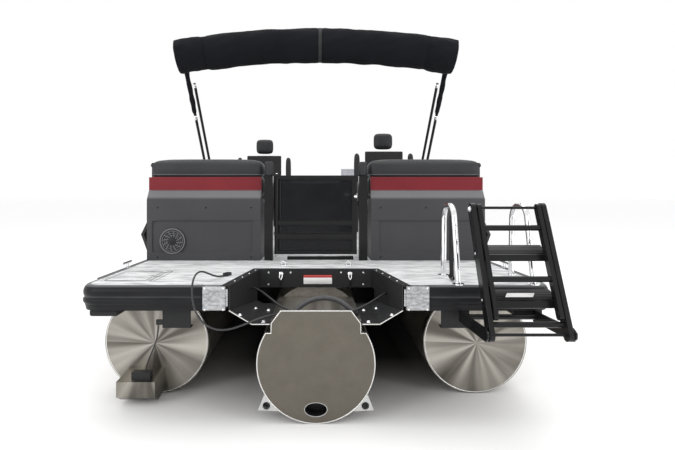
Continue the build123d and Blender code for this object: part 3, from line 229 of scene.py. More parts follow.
world = bpy.data.worlds.new("studio")
bpy.context.scene.world = world
world.use_nodes = True
world.node_tree.nodes["Background"].inputs["Color"].default_value = rgb(1.0, 1.0, 1.0)
world.node_tree.nodes["Background"].inputs["Strength"].default_value = 1.0
bpy.context.scene.view_settings.view_transform = "Standard"


def softbox(name, place, aim, width, height, power):
    data = bpy.data.lights.new(name, "AREA")
    data.shape = "RECTANGLE"
    data.size = width
    data.size_y = height
    data.energy = power
    light = bpy.data.objects.new(name, data)
    bpy.context.scene.collection.objects.link(light)
    light.location = place
    light.rotation_euler = (Vector(aim) - Vector(place)).to_track_quat("-Z", "Y").to_euler()


softbox("overhead", (0, 0, 7.5), (0, 0, 0), 9, 9, 330)
softbox("stern_left", (-5.5, STERN - 5.5, 4.0), (0, STERN, 0.8), 3, 3, 150)
softbox("stern_right", (6.0, STERN - 4.0, 3.0), (0, STERN, 0.8), 2, 4, 110)


# %% [markdown]
# ## Hoses and cables
# A hose is a curve with thickness.  Its points are the control points of a NURBS curve,
# so the line bends smoothly and never kinks.  They are made first, because the model's
# box has to hold them.
# %% Curve helper
def link(thing, body, finish):
    """Put a piece in the scene, on its body, with its finish."""
    if thing.name not in bpy.context.scene.collection.objects:
        bpy.context.scene.collection.objects.link(thing)
    if finish is not None:
        thing.data.materials.clear()
        thing.data.materials.append(finish.material)
    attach(thing, body)
    return thing


def nurbs_line(name, points, radius):
    """Smooth curve through space with a round section."""
    data = bpy.data.curves.new(name, "CURVE")
    data.dimensions = "3D"
    data.bevel_depth = radius
    data.bevel_resolution = 6
    data.resolution_u = 16
    data.use_fill_caps = True
    spline = data.splines.new("NURBS")
    spline.points.add(len(points) - 1)
    for spot, point in zip(spline.points, points):
        spot.co = (*point, 1.0)
    spline.order_u = 3
    spline.use_endpoint_u = True
    return bpy.data.objects.new(name, data)


def poly_line(name, points, radius, closed=False):
    """Straight-run curve with a round section, for rims, beads and wire fittings."""
    data = bpy.data.curves.new(name, "CURVE")
    data.dimensions = "3D"
    data.bevel_depth = radius
    data.bevel_resolution = 4
    data.use_fill_caps = True
    spline = data.splines.new("POLY")
    spline.points.add(len(points) - 1)
    for spot, point in zip(spline.points, points):
        spot.co = (*point, 1.0)
    spline.use_cyclic_u = closed
    return bpy.data.objects.new(name, data)


# %% Cable finishes
cable_black = Finish("cable_jacket", Roughness=0.42)
soot = cable_black.place.grain(0.012)
cable_black.feed("Base Color", soot.blend(rgb(0.012, 0.012, 0.013), rgb(0.035, 0.034, 0.034)))
cable_black.bump(cable_black.place.grain(0.002), 0.0002)

hose_grey = Finish("hose_jacket", Roughness=0.38)
scuff = hose_grey.place.grain(0.02)
hose_grey.feed("Base Color", scuff.blend(rgb(0.035, 0.035, 0.038), rgb(0.09, 0.09, 0.095)))
hose_grey.feed("Roughness", scuff * 0.25 + 0.3)
hose_grey.bump(hose_grey.place.grain(0.003), 0.0003)

# %% The four runs
HOSE_ROUTE = [
    (-128, 96, 552), (-80, 117, 594), (-8, 148, 622), (72, 158, 625), (146, 143, 605), (204, 117, 556),
]
CONTROL_ROUTE = [
    (-384, 380, 640), (-332, 334, 634), (-268, 244, 610), (-198, 138, 582), (-112, 56, 566), (-10, 34, 558),
    (94, 35, 560), (188, 56, 572), (272, 112, 592), (342, 188, 614), (396, 250, 630),
]
HARNESS_ROUTE = [
    (-196, 60, 556), (-256, 46, 553), (-324, 6, 536), (-396, -32, 514), (-462, -44, 499), (-528, -46, 505),
    (-588, -44, 546), (-622, -42, 606), (-634, -40, 672), (-636, -28, 736), (-632, 24, 776),
    (-616, 84, 782), (-594, 142, 762), (-570, 196, 738), (-548, 252, 724), (-530, 312, 721),
]
SENSOR_ROUTE = [
    (-840, 66, 500), (-843, 71, 462), (-856, 92, 412), (-946, 210, 252), (-959, 228, 220), (-962, 232, 190),
]


def cord(name, node, route, diameter, finish, **facts):
    """A cord that stands for its plain CAD tube."""
    points = [at(*point) for point in route]
    line = link(nurbs_line(name, points, diameter / 2), "hull", finish)
    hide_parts(node)
    length = sum((b - a).length for a, b in zip(points, points[1:]))
    print(name, "control runs", round(length, 3))
    return line


hose = cord("rigging_hose_line", "rigging_hose", HOSE_ROUTE, 0.028, hose_grey, length=0.386,
            far_end="object", stiffness="stiff", with_pieces=[])
cord("control_cable_line", "control_cable", CONTROL_ROUTE, 0.012, cable_black, length=1.025,
     far_end="object", stiffness="stiff", with_pieces=[])
cord("harness_cable_line", "harness_cable", HARNESS_ROUTE, 0.010, cable_black, length=1.007,
     far_end="connector", stiffness="medium", with_pieces=[nodes["harness_connector"]])
cord("transducer_cable_line", "transducer_cable", SENSOR_ROUTE, 0.008, cable_black, length=0.381,
     far_end="object", stiffness="medium", with_pieces=[])

# %% [markdown]
# The hose is corrugated: its outside is a row of rounded ribs.  A swept skin with a wavy
# radius shows them better than paint would, so the ribs are real and follow the curve.
# %% Skin swept along a curve
def curve_points(line):
    """Evenly stepped points read from a curve's own spline."""
    bare = line.data.copy()
    bare.bevel_depth = 0.0
    holder = bpy.data.objects.new("bare_line", bare)
    mesh = bpy.data.meshes.new_from_object(holder)
    points = [v.co.copy() for v in mesh.vertices]
    bpy.data.objects.remove(holder)
    return points


def mesh_piece(name, points, faces, smooth=True):
    """A mesh object from plain lists, smooth unless told otherwise."""
    mesh = bpy.data.meshes.new(name)
    mesh.from_pydata([tuple(p) for p in points], [], faces)
    mesh.update()
    if smooth:
        mesh.shade_smooth()
    return bpy.data.objects.new(name, mesh)


def skin(name, rings, closed_ends=True):
    """Faces between rings of equal length; each ring is a closed loop of points."""
    count = len(rings[0])
    points = [p for loop in rings for p in loop]
    faces = []
    for row in range(len(rings) - 1):
        for i in range(count):
            j = (i + 1) % count
            faces.append((row * count + i, row * count + j, (row + 1) * count + j, (row + 1) * count + i))
    if closed_ends:
        faces.append(tuple(reversed(range(count))))
        faces.append(tuple(range((len(rings) - 1) * count, len(rings) * count)))
    return mesh_piece(name, points, faces)


def ribbed_tube(name, line, radius, rib, pitch, start, stop):
    """Ribs along part of a curve: radius swells by rib once every pitch."""
    path = curve_points(line)
    lengths = [0.0]
    for a, b in zip(path, path[1:]):
        lengths.append(lengths[-1] + (b - a).length)
    rings = []
    steps = int((stop - start) * lengths[-1] / pitch * 8)
    for k in range(steps + 1):
        goal = lengths[-1] * (start + (stop - start) * k / steps)
        i = max(1, next((n for n, d in enumerate(lengths) if d >= goal), len(lengths) - 1))
        share = (goal - lengths[i - 1]) / max(1e-9, lengths[i] - lengths[i - 1])
        centre = path[i - 1].lerp(path[i], share)
        turn = (path[i] - path[i - 1]).to_track_quat("Z", "Y").to_matrix()
        size = radius + rib * (0.5 + 0.5 * math.cos(math.tau * k / 8))
        rings.append([centre + turn @ Vector((size * math.cos(t), size * math.sin(t), 0))
                      for t in (math.tau * n / 24 for n in range(24))])
    return skin(name, rings)


ribs = link(ribbed_tube("rigging_hose_ribs", hose, 0.0138, 0.0018, 0.0075, 0.06, 0.94), "hull",
            hose_grey)
print("ribs", len(ribs.data.polygons), "faces")

# %% [markdown]
# ## Metal finishes
# Pontoon aluminium is rolled sheet: bright, a little blue, with faint long scratches along
# the tube and soft smudges.  On the spun end caps, spokes of reflected light are painted into
# the colour, which turns with the angle round each tube's own axis.
# %% Tube aluminium
SIDE_TUBE_X = (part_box("starboard_pontoon")[0].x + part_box("starboard_pontoon")[1].x) / 2
TUBE_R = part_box("centre_pontoon")[1].x
TUBE_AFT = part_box("starboard_pontoon")[0].y


def tube_finish(name, centre_x):
    """Rolled sheet with a spun cap: long scratches forward, painted reflection spokes on the cap."""
    made = Finish(name, Metallic=0.85, Specular_IOR_Level=0.5)
    x = made.place.part(0) - centre_x
    y = made.place.part(1)
    z = made.place.part(2) - 0.31
    angle = z.math("ARCTAN2", z, x)
    reach = (x * x + z * z) ** 0.5
    on_cap = (TUBE_AFT + 0.10) > y
    on_cap = on_cap.math("MINIMUM", on_cap, 1.0)
    spin = made.place.node("ShaderNodeCombineXYZ", {}, {0: angle * 2.2, 1: reach * 0.8, 2: centre_x})
    # Painted reflection: broad bright and dark spokes round the cap's axis stand in for light caught by spun
    # metal.
    spoke_reflections = spin.grain(0.8, 1.5)
    fine = spin.grain(0.06, 2.0)
    scratches = made.place.scaled(40.0, 1.2, 40.0).grain(1.0, 4.0)
    smudge = made.place.grain(0.25, 4.0)
    cap_tone_and_reflections = (spoke_reflections * 2.2 - 0.80 + fine * 0.08).clamped()
    side_tone = (scratches * 0.55 + smudge * 0.5 - 0.05).clamped()
    tone = on_cap * cap_tone_and_reflections + (1.0 - on_cap) * side_tone
    made.feed("Base Color", tone.blend(rgb(0.115, 0.105, 0.09), rgb(0.56, 0.53, 0.475)))
    made.feed("Roughness", 0.24 + 0.22 * scratches + 0.08 * smudge)
    made.bump(scratches * 0.7 + smudge * 0.3, 0.0004)
    return made


port_tube = tube_finish("tube_aluminium_port", -SIDE_TUBE_X)
starboard_tube = tube_finish("tube_aluminium_starboard", SIDE_TUBE_X)
centre_tube = tube_finish("tube_aluminium_centre", 0.0)

plate_finish = Finish("motor_plate_aluminium", Metallic=0.55)
mottle = plate_finish.place.grain(0.09, 5.0)
streak = plate_finish.place.scaled(1.0, 1.0, 7.0).grain(0.05, 3.0)
plate_finish.feed("Base Color",
                  (mottle * 0.6 + streak * 0.4).blend(rgb(0.085, 0.075, 0.060), rgb(0.170, 0.152, 0.126)))
plate_finish.feed("Roughness", 0.42 + 0.2 * streak)
plate_finish.bump(mottle, 0.0006)

mill = Finish("mill_aluminium", Metallic=0.9)
drawn = mill.place.scaled(1.0, 14.0, 14.0).grain(0.05, 3.0)
mill.feed("Base Color", drawn.blend(rgb(0.42, 0.42, 0.42), rgb(0.66, 0.66, 0.65)))
mill.feed("Roughness", 0.32 + 0.25 * drawn)
mill.bump(drawn, 0.0002)

weld = Finish("weld_bead", Metallic=0.9, Roughness=0.25)
ripple = weld.place.grain(0.006, 2.0)
weld.feed("Base Color", ripple.blend(rgb(0.5, 0.49, 0.47), rgb(0.9, 0.9, 0.88)))
weld.bump(ripple, 0.001)

chrome = Finish("polished_steel", Metallic=1.0)
film = chrome.place.grain(0.08, 3.0)
chrome.feed("Base Color", film.blend(rgb(0.74, 0.74, 0.75), rgb(0.9, 0.9, 0.91)))
chrome.feed("Roughness", 0.05 + 0.07 * film)

black_metal = Finish("black_metal", Coat_Weight=0.06, Coat_Roughness=0.08, Specular_IOR_Level=0.2)
orange_peel = black_metal.place.grain(0.004, 2.0)
dusting = black_metal.place.grain(0.12, 4.0)
black_metal.feed("Base Color", dusting.blend(rgb(0.0035, 0.0035, 0.004), rgb(0.012, 0.012, 0.013)))
black_metal.feed("Roughness", 0.14 + 0.12 * dusting)
black_metal.bump(orange_peel, 0.00025)

# %% [markdown]
# ## Deck, rubber and moulded finishes
# The flooring is woven vinyl: pale threads in both directions with darker flecks, laid so
# the streaks run across the boat.  The moulded seat panels have a fine leathery grain, and
# the bumper is a softer rubber that has a faint bloom.
# %% Deck and moulded finishes
woven = Finish("woven_vinyl", Roughness=0.72)
threads = woven.place.node("ShaderNodeTexWave", {"bands_direction": "Y", "wave_profile": "SIN"},
                           {"Vector": woven.place, "Scale": 62.0, "Distortion": 0.6, "Detail": 1.0}, out=1)
weft = woven.place.node("ShaderNodeTexWave", {"bands_direction": "X", "wave_profile": "SIN"},
                        {"Vector": woven.place, "Scale": 95.0, "Distortion": 0.4, "Detail": 1.0}, out=1)
flecks = woven.place.scaled(0.14, 1.0, 1.0).grain(0.016, 4.0)
broad = woven.place.scaled(0.08, 1.0, 1.0).grain(0.06, 3.0)
woven.feed("Base Color", (flecks * 2.6 + broad * 1.2 - 1.25 + weft * 0.12).clamped().blend(
    rgb(0.17, 0.172, 0.178), rgb(0.78, 0.785, 0.79)))
woven.bump(threads * 0.6 + weft * 0.4, 0.0006)

board = Finish("deck_board", Roughness=0.7)
ply = board.place.scaled(0.3, 1.0, 12.0).grain(0.03, 4.0)
board.feed("Base Color", ply.blend(rgb(0.16, 0.11, 0.07), rgb(0.36, 0.27, 0.18)))
board.bump(ply, 0.0005)

rubber = Finish("black_rubber", Specular_IOR_Level=0.22)
bloom = rubber.place.grain(0.15, 4.0)
rubber.feed("Base Color", bloom.blend(rgb(0.008, 0.0082, 0.009), rgb(0.022, 0.0225, 0.024)))
rubber.feed("Roughness", 0.33 + 0.22 * bloom)
rubber.bump(rubber.place.grain(0.0025, 2.0), 0.0003)

# Painted highlights: the bumper's top flange and the crown of its middle ridge are painted a paler grey, over
# a random change of tone.
bumper = Finish("bumper_rubber", Specular_IOR_Level=0.16)
rise = bumper.place.part(2)
flange = ((rise - (DECK - 0.010)) * 160.0).clamped()
ridge = (1.0 - (rise - (DECK - 0.060)).absolute() * 95.0).clamped()
tone_and_highlight_noise = bumper.place.scaled(0.6, 0.6, 3.0).grain(0.12, 4.0)
bumper_tone_and_highlights = (flange * 0.75 + ridge * 0.55 * tone_and_highlight_noise + tone_and_highlight_noise * 0.12).clamped()
bumper.feed("Base Color", bumper_tone_and_highlights.blend(rgb(0.004, 0.0042, 0.005), rgb(0.12, 0.122, 0.128)))
bumper.feed("Roughness", 0.28 + 0.2 * tone_and_highlight_noise)
bumper.bump(bumper.place.grain(0.0025, 2.0), 0.0003)


def moulded(name, low, high, rough=0.42):
    """Moulded plastic: leathery cells under a slow change of tone."""
    made = Finish(name, Specular_IOR_Level=0.22)
    cells = made.place.node("ShaderNodeTexVoronoi", {"feature": "SMOOTH_F1"},
                            {"Vector": made.place, "Scale": 420.0})
    slow = made.place.grain(0.35, 3.0)
    made.feed("Base Color", (slow * 0.8 + cells * 0.2).blend(low, high))
    made.feed("Roughness", rough + 0.14 * slow)
    made.bump(cells, 0.00035)
    return made


grey_mould = moulded("moulded_grey", rgb(0.040, 0.040, 0.043), rgb(0.062, 0.062, 0.066))
panel_mould = Finish("moulded_grey_panel", Specular_IOR_Level=0.22)
panel_cells = panel_mould.place.node("ShaderNodeTexVoronoi", {"feature": "SMOOTH_F1"},
                                     {"Vector": panel_mould.place, "Scale": 420.0})
panel_slow = panel_mould.place.grain(0.35, 3.0)
# Painted highlight: the upward-sloping bevel at the top of the panel is painted a lighter grey than the face
# below it.
above_bevel = ((panel_mould.place.part(2) - (DECK + 0.447)) * 60.0).clamped()
lower_tone = (panel_slow * 0.8 + panel_cells * 0.2).blend(rgb(0.040, 0.040, 0.043), rgb(0.064, 0.064, 0.068))
lit_bevel_tone = (panel_slow * 0.8 + panel_cells * 0.2).blend(rgb(0.12, 0.12, 0.125), rgb(0.17, 0.17, 0.176))
panel_mould.feed("Base Color", above_bevel.blend(lower_tone, lit_bevel_tone))
panel_mould.feed("Roughness", 0.4 + 0.14 * panel_slow)
panel_mould.bump(panel_cells, 0.00035)
well_mould = moulded("well_plastic", rgb(0.012, 0.0122, 0.013), rgb(0.03, 0.0305, 0.032), 0.36)
speaker_black = moulded("black_plastic", rgb(0.012, 0.012, 0.013), rgb(0.03, 0.03, 0.032), 0.38)

red = Finish("red_trim", Coat_Weight=0.15, Coat_Roughness=0.2, Roughness=0.4, Specular_IOR_Level=0.2)
red_slow = red.place.grain(0.2, 3.0)
red.feed("Base Color", red_slow.blend(rgb(0.13, 0.008, 0.013), rgb(0.20, 0.014, 0.020)))
red.bump(red.place.grain(0.003, 2.0), 0.0003)

fence_skin = Finish("fence_skin", Coat_Weight=0.2, Coat_Roughness=0.15, Specular_IOR_Level=0.3)
sheet_tone = fence_skin.place.scaled(1.0, 0.3, 1.0).grain(0.4, 3.0)
height = fence_skin.place.part(2)
stripe = (height > DECK + 0.205) * (height < DECK + 0.262) * (fence_skin.place.part(1) > STERN + 2.0)
plain_sheet = sheet_tone.blend(rgb(0.010, 0.010, 0.011), rgb(0.024, 0.024, 0.026))
fence_skin.feed("Base Color", stripe.blend(plain_sheet, rgb(0.20, 0.014, 0.020)))
fence_skin.feed("Roughness", 0.3 + 0.15 * sheet_tone)
fence_skin.bump(fence_skin.place.grain(0.5, 1.0), 0.002)

# %% [markdown]
# ## Clear and soft finishes
# The smoked gate pane lets a quarter of the light through.  Seat vinyl has a leather
# grain made of small cells; the canvas of the stowed top is a plain weave with dust.
# %% Panes, vinyl and canvas
smoked = Finish("smoked_panel", Roughness=0.09, Coat_Weight=0.04, Coat_Roughness=0.04,
                Specular_IOR_Level=0.1)
haze = smoked.place.grain(0.18, 3.0)
smoked.feed("Base Color", haze.blend(rgb(0.003, 0.0033, 0.004), rgb(0.016, 0.0165, 0.019)))
smoked.feed("Alpha", 0.86 + 0.1 * haze)

screen = Finish("clear_screen", Roughness=0.06, Coat_Weight=0.5, Coat_Roughness=0.04)
tint = screen.place.grain(0.3, 2.0)
screen.feed("Base Color", tint.blend(rgb(0.28, 0.29, 0.36), rgb(0.4, 0.41, 0.5)))
screen.feed("Alpha", 0.42 + 0.1 * tint)


def vinyl(name, low, high):
    """Upholstery vinyl: small grain, creases and a slightly worn sheen."""
    made = Finish(name, Specular_IOR_Level=0.3)
    grain = made.place.node("ShaderNodeTexVoronoi", {"feature": "F1"},
                            {"Vector": made.place, "Scale": 520.0})
    crease = made.place.grain(0.05, 5.0)
    wear = made.place.grain(0.22, 3.0)
    made.feed("Base Color", (wear * 0.7 + grain * 0.3).blend(low, high))
    made.feed("Roughness", 0.36 + 0.2 * wear)
    made.bump(grain * 0.25 + crease * 0.75, 0.0016)
    return made


seat_vinyl = vinyl("seat_vinyl", rgb(0.012, 0.0122, 0.0135), rgb(0.034, 0.035, 0.038))
pale_vinyl = vinyl("seat_vinyl_pale", rgb(0.07, 0.071, 0.075), rgb(0.13, 0.132, 0.138))
red_vinyl = vinyl("seat_vinyl_red", rgb(0.15, 0.018, 0.024), rgb(0.25, 0.033, 0.042))

canvas = Finish("canvas", Roughness=0.85, Specular_IOR_Level=0.12)
warp = canvas.place.node("ShaderNodeTexWave", {"bands_direction": "X"},
                         {"Vector": canvas.place, "Scale": 260.0}, out=1)
woof = canvas.place.node("ShaderNodeTexWave", {"bands_direction": "Z"},
                         {"Vector": canvas.place, "Scale": 260.0}, out=1)
dust = canvas.place.grain(0.3, 5.0)
canvas_tone = dust * 0.8 + warp * 0.12
canvas.feed("Base Color", canvas_tone.blend(rgb(0.004, 0.0043, 0.006), rgb(0.014, 0.0145, 0.019)))
canvas.bump(warp * 0.3 + woof * 0.3 + canvas.place.grain(0.06, 4.0) * 0.4, 0.0022)

thread = Finish("stitch_thread", Roughness=0.6)
along = thread.place.part(0) + thread.place.part(1) + thread.place.part(2)
dash = (along * 110.0).math("FRACT", along * 110.0) > 0.34
thread.feed("Base Color", dash.blend(rgb(0.03, 0.03, 0.033), rgb(0.32, 0.32, 0.33)))

webbing = Finish("webbing", Roughness=0.8)
rows = webbing.place.node("ShaderNodeTexWave", {"bands_direction": "Z"},
                          {"Vector": webbing.place, "Scale": 300.0}, out=1)
webbing.feed("Base Color", rows.blend(rgb(0.008, 0.008, 0.009), rgb(0.035, 0.035, 0.037)))
webbing.bump(rows, 0.0006)

blank_white = Finish("blank_label", Roughness=0.3)
sheen = blank_white.place.grain(0.05, 2.0)
blank_white.feed("Base Color", sheen.blend(rgb(0.74, 0.74, 0.73), rgb(0.86, 0.86, 0.85)))
blank_white.bump(sheen, 0.0001)

blank_red = Finish("blank_label_red", Roughness=0.3)
red_sheen = blank_red.place.grain(0.05, 2.0)
blank_red.feed("Base Color", red_sheen.blend(rgb(0.5, 0.04, 0.04), rgb(0.62, 0.07, 0.06)))
blank_red.bump(red_sheen, 0.0001)

clear_film = Finish("film_cover", Metallic=0.45, Roughness=0.16, Coat_Weight=0.8, Coat_Roughness=0.05)
folds = clear_film.place.scaled(1.0, 1.0, 2.5).grain(0.03, 4.0)
film_tone = (folds * 1.5 - 0.3).clamped()
clear_film.feed("Base Color", film_tone.blend(rgb(0.10, 0.105, 0.11), rgb(0.66, 0.67, 0.68)))
clear_film.bump(folds, 0.004)

# %% Give each CAD piece its finish
NODE_FINISH = {
    "port_pontoon": port_tube, "starboard_pontoon": starboard_tube, "centre_pontoon": centre_tube,
    "transom_plate": plate_finish, "lifting_strakes": mill, "pontoon_brackets": mill, "crossmembers": mill,
    "deck_panel": board, "deck_flooring": woven, "deck_edge_rail": grey_mould, "stern_bumpers": bumper,
    "bumper_end_caps": clear_film, "motor_well": well_mould, "stern_brackets": rubber,
    "deck_cleats": chrome, "aft_seat_panels": panel_mould, "rear_speaker": speaker_black,
    "aft_accent_bands": red, "aft_seat_bases": grey_mould, "gate_posts": black_metal,
    "starboard_fence": fence_skin, "port_fence_aft": fence_skin, "port_fence_forward": fence_skin,
    "bow_lounge_bases": grey_mould, "helm_console": grey_mould, "console_windscreen": screen,
    "throttle_control": speaker_black, "chair_pedestals": mill, "bimini_mounts": chrome,
    "ladder_mount": black_metal, "ladder_handrails": chrome, "transducer_bracket": port_tube,
    "transducer": speaker_black, "cable_glands": speaker_black, "harness_connector": speaker_black,
    "stern_gate_frame": black_metal, "stern_gate_panel": smoked, "side_gate": fence_skin,
    "bow_gate": fence_skin, "platform_hatch": woven, "starboard_chair_shell": speaker_black,
    "port_chair_shell": speaker_black, "steering_wheel": speaker_black, "bimini_main_bow": black_metal,
    "bimini_struts": black_metal, "ladder_main_section": black_metal, "ladder_folding_section": black_metal,
}
for name, finish in NODE_FINISH.items():
    node = nodes[name]
    if not node.material_slots:
        node.data.materials.append(finish.material)
    for place in node.material_slots:
        place.material = finish.material
print(len(NODE_FINISH), "CAD pieces finished")

# %% [markdown]
# ## Cushions
# A boat cushion is foam in a sewn vinyl cover: it is fullest in the middle, its edges pull
# in between the corners, and every sewn channel sinks.  Each pad starts as a rounded box
# with grid lines laid along its seams.  Cloth under pressure then swells it, a cap keeps
# the swelling small, and the seams are pressed in last so that nothing smooths them away.
# %% Rounded box with seam lines
def cut_places(low, high, step, seams):
    """Where to cut one side: even steps, and three close cuts at each seam."""
    count = max(3, round((high - low) / step))
    cuts = [low + (high - low) * i / count for i in range(count + 1)]
    for seam in seams:
        cuts = [c for c in cuts if abs(c - seam) > 0.014 or c in (low, high)]
        cuts += [seam - 0.008, seam, seam + 0.008]
    return sorted(cuts)


def pad_shape(name, low, high, radius, step, seams):
    """Closed rounded box on a grid; returns the object and how deep each point's seam is."""
    cuts = [cut_places(low[i], high[i], step, seams[i]) for i in range(3)]
    found, points, faces, grooves = {}, [], [], []

    def corner(key):
        if key not in found:
            found[key] = len(points)
            raw = Vector(cuts[n][key[n]] for n in range(3))
            inner = Vector(min(max(raw[n], low[n] + radius), high[n] - radius) for n in range(3))
            out = raw - inner
            points.append(inner + out.normalized() * min(radius, out.length) if out.length > 0 else raw)
            near = [abs(raw[n] - s) for n in range(3) for s in seams[n]]
            grooves.append(1.0 if near and min(near) < 0.001 else 0.15 if near and min(near) < 0.009 else 0.0)
        return found[key]

    for axis in range(3):
        across, up = (axis + 1) % 3, (axis + 2) % 3
        for side in (0, len(cuts[axis]) - 1):
            for i in range(len(cuts[across]) - 1):
                for j in range(len(cuts[up]) - 1):
                    quad = []
                    for di, dj in ((0, 0), (1, 0), (1, 1), (0, 1)):
                        key = [0, 0, 0]
                        key[axis], key[across], key[up] = side, i + di, j + dj
                        quad.append(corner(tuple(key)))
                    faces.append(quad if side else quad[::-1])
    return mesh_piece(name, points, faces), grooves


# %% Swell, press the seams, stitch
def swell(pad, cap):
    """Cloth under pressure, with no gravity, and no point moving further than cap."""
    scene = bpy.context.scene
    scene.collection.objects.link(pad)
    before = [v.co.copy() for v in pad.data.vertices]
    cloth = pad.modifiers.new("cloth", "CLOTH")
    cloth.settings.quality = 4
    cloth.settings.use_pressure = True
    cloth.settings.uniform_pressure_force = 4.0
    cloth.settings.effector_weights.gravity = 0.0
    for step in range(1, 21):
        scene.frame_set(step)
    puffed = pad.evaluated_get(bpy.context.evaluated_depsgraph_get())
    after = [v.co.copy() for v in puffed.data.vertices]
    pad.modifiers.remove(cloth)
    scene.frame_set(1)
    scene.collection.objects.unlink(pad)
    for vertex, a, b in zip(pad.data.vertices, before, after):
        move = b - a
        vertex.co = a + move * min(1.0, cap / max(move.length, 1e-9))


def crown(pad, low, high, rise):
    """The same swelling by arithmetic: each face rises most at its middle."""
    middle = (low + high) / 2
    half = (high - low) / 2
    for vertex in pad.data.vertices:
        share = [(vertex.co[n] - middle[n]) / half[n] for n in range(3)]
        for n in range(3):
            others = [1 - min(1.0, abs(share[m])) ** 2.4 for m in range(3) if m != n]
            vertex.co[n] += rise * share[n] ** 3 * others[0] * others[1]


def cushion(name, low, high, body, node, radius=0.03, step=0.03, seams=((), (), ()), cap=0.014,
            finish=None, settle=True):
    """One upholstered pad inside the space from low to high, riding on a body."""
    low, high = Vector(low), Vector(high)
    small_low = low + Vector((cap, cap, cap)) * 0.8
    small_high = high - Vector((cap, cap, cap)) * 0.8
    pad, grooves = pad_shape(name, small_low, small_high, radius, step, seams)
    crown(pad, small_low, small_high, cap * 0.7)
    if settle:
        swell(pad, cap)
    normals = [v.normal.copy() for v in pad.data.vertices]
    for vertex, groove, normal in zip(pad.data.vertices, grooves, normals):
        vertex.co -= normal * 0.008 * groove
        for n in range(3):
            vertex.co[n] = min(max(vertex.co[n], low[n] - 0.001), high[n] + 0.003)
    smoothing = pad.modifiers.new("smooth", "SUBSURF")
    smoothing.levels = 1
    smoothing.render_levels = 1
    link(pad, body, finish or seat_vinyl)
    if node:
        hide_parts(node)
    return pad


def on_surface(pad, points, lift=0.0):
    """Points dropped on the nearest spot of a pad."""
    found = []
    for p in points:
        _, place, normal, _ = pad.closest_point_on_mesh(p)
        found.append(place + normal * lift)
    return found


def bead(name, pad, points, radius, body, finish, closed=False, lift=0.0):
    """Piping or a stitch line laid on a pad."""
    return link(poly_line(name, on_surface(pad, points, lift), radius, closed), body, finish)


def loop_points(low, high, axis, level, corner=0.04, count=10):
    """Rounded rectangle round a box at one level of an axis."""
    a, b = (axis + 1) % 3, (axis + 2) % 3
    points = []
    for k, (sa, sb) in enumerate(((1, 1), (-1, 1), (-1, -1), (1, -1))):
        ca = (high[a] - corner) if sa > 0 else (low[a] + corner)
        cb = (high[b] - corner) if sb > 0 else (low[b] + corner)
        for i in range(count + 1):
            t = math.radians(90 * (k + i / count))
            p = Vector((0, 0, 0))
            p[axis], p[a], p[b] = level, ca + corner * math.cos(t), cb + corner * math.sin(t)
            points.append(p)
    dense = []
    for p, q in zip(points, points[1:] + points[:1]):
        steps = max(1, int((q - p).length / 0.03))
        dense += [p.lerp(q, s / steps) for s in range(steps)]
    return dense


# %% Stern seats
def across(side, inner, outer, aft, fore, bottom, top):
    """Low and high corners of a space on one side of the boat."""
    x0, x1 = sorted((side * inner, side * outer))
    return at(x0, aft, bottom), at(x1, fore, top)


for side, word in ((-1, "port"), (1, "starboard")):
    low, high = across(side, 385, 1184, 1079, 1230, 1166, 1352)
    cushion(f"{word}_aft_back_pad", low, high, "hull", "aft_back_cushions", radius=0.028, step=0.035,
            seams=((side * 0.65, side * 0.92), (), ()), settle=False)
    low, high = across(side, 382, 1222, 1043, 1232, 1306, 1456)
    roll = cushion(f"{word}_aft_back_roll", low, high, "hull", None, radius=0.045, step=0.024, cap=0.012,
                   seams=((), (), ()))
    level = low.z + 0.03
    bead(f"{word}_roll_piping", roll, loop_points(low, high, 2, level), 0.0035, "hull", pale_vinyl, True)
    low, high = across(side, 402, 1166, 1245, 1772, 1046, 1165)
    body = f"{word}_aft_seat"
    seat = cushion(f"{word}_aft_seat_pad", low, high, body, f"{word}_aft_seat_cushion", radius=0.03,
                   seams=((side * 0.657, side * 0.911), (), ()))
    bead(f"{word}_aft_seat_piping", seat, loop_points(low, high, 2, high.z - 0.028), 0.004, body,
         red_vinyl, True)
    for seam in (side * 0.657, side * 0.911):
        for shift in (-0.014, 0.014):
            line = [Vector((seam + shift, low.y + 0.03 + i * 0.02, high.z + 0.02)) for i in range(24)]
            bead(f"{word}_seat_stitch_{round(abs(seam) * 1000)}_{'a' if shift < 0 else 'b'}", seat, line,
                 0.0011, body, thread)

    rings = []
    for height, size in ((1331, 24), (1334, 29), (1345, 31), (1380, 31.4), (1420, 31), (1430, 28),
                         (1435, 20)):
        rings.append([at(side * 344 + size * math.cos(t), 1040 + size * math.sin(t), height)
                      for t in (math.tau * n / 32 for n in range(32))])
    post_pad = link(skin(f"{word}_post_roll", rings), "hull", seat_vinyl)
print("stern seats done")

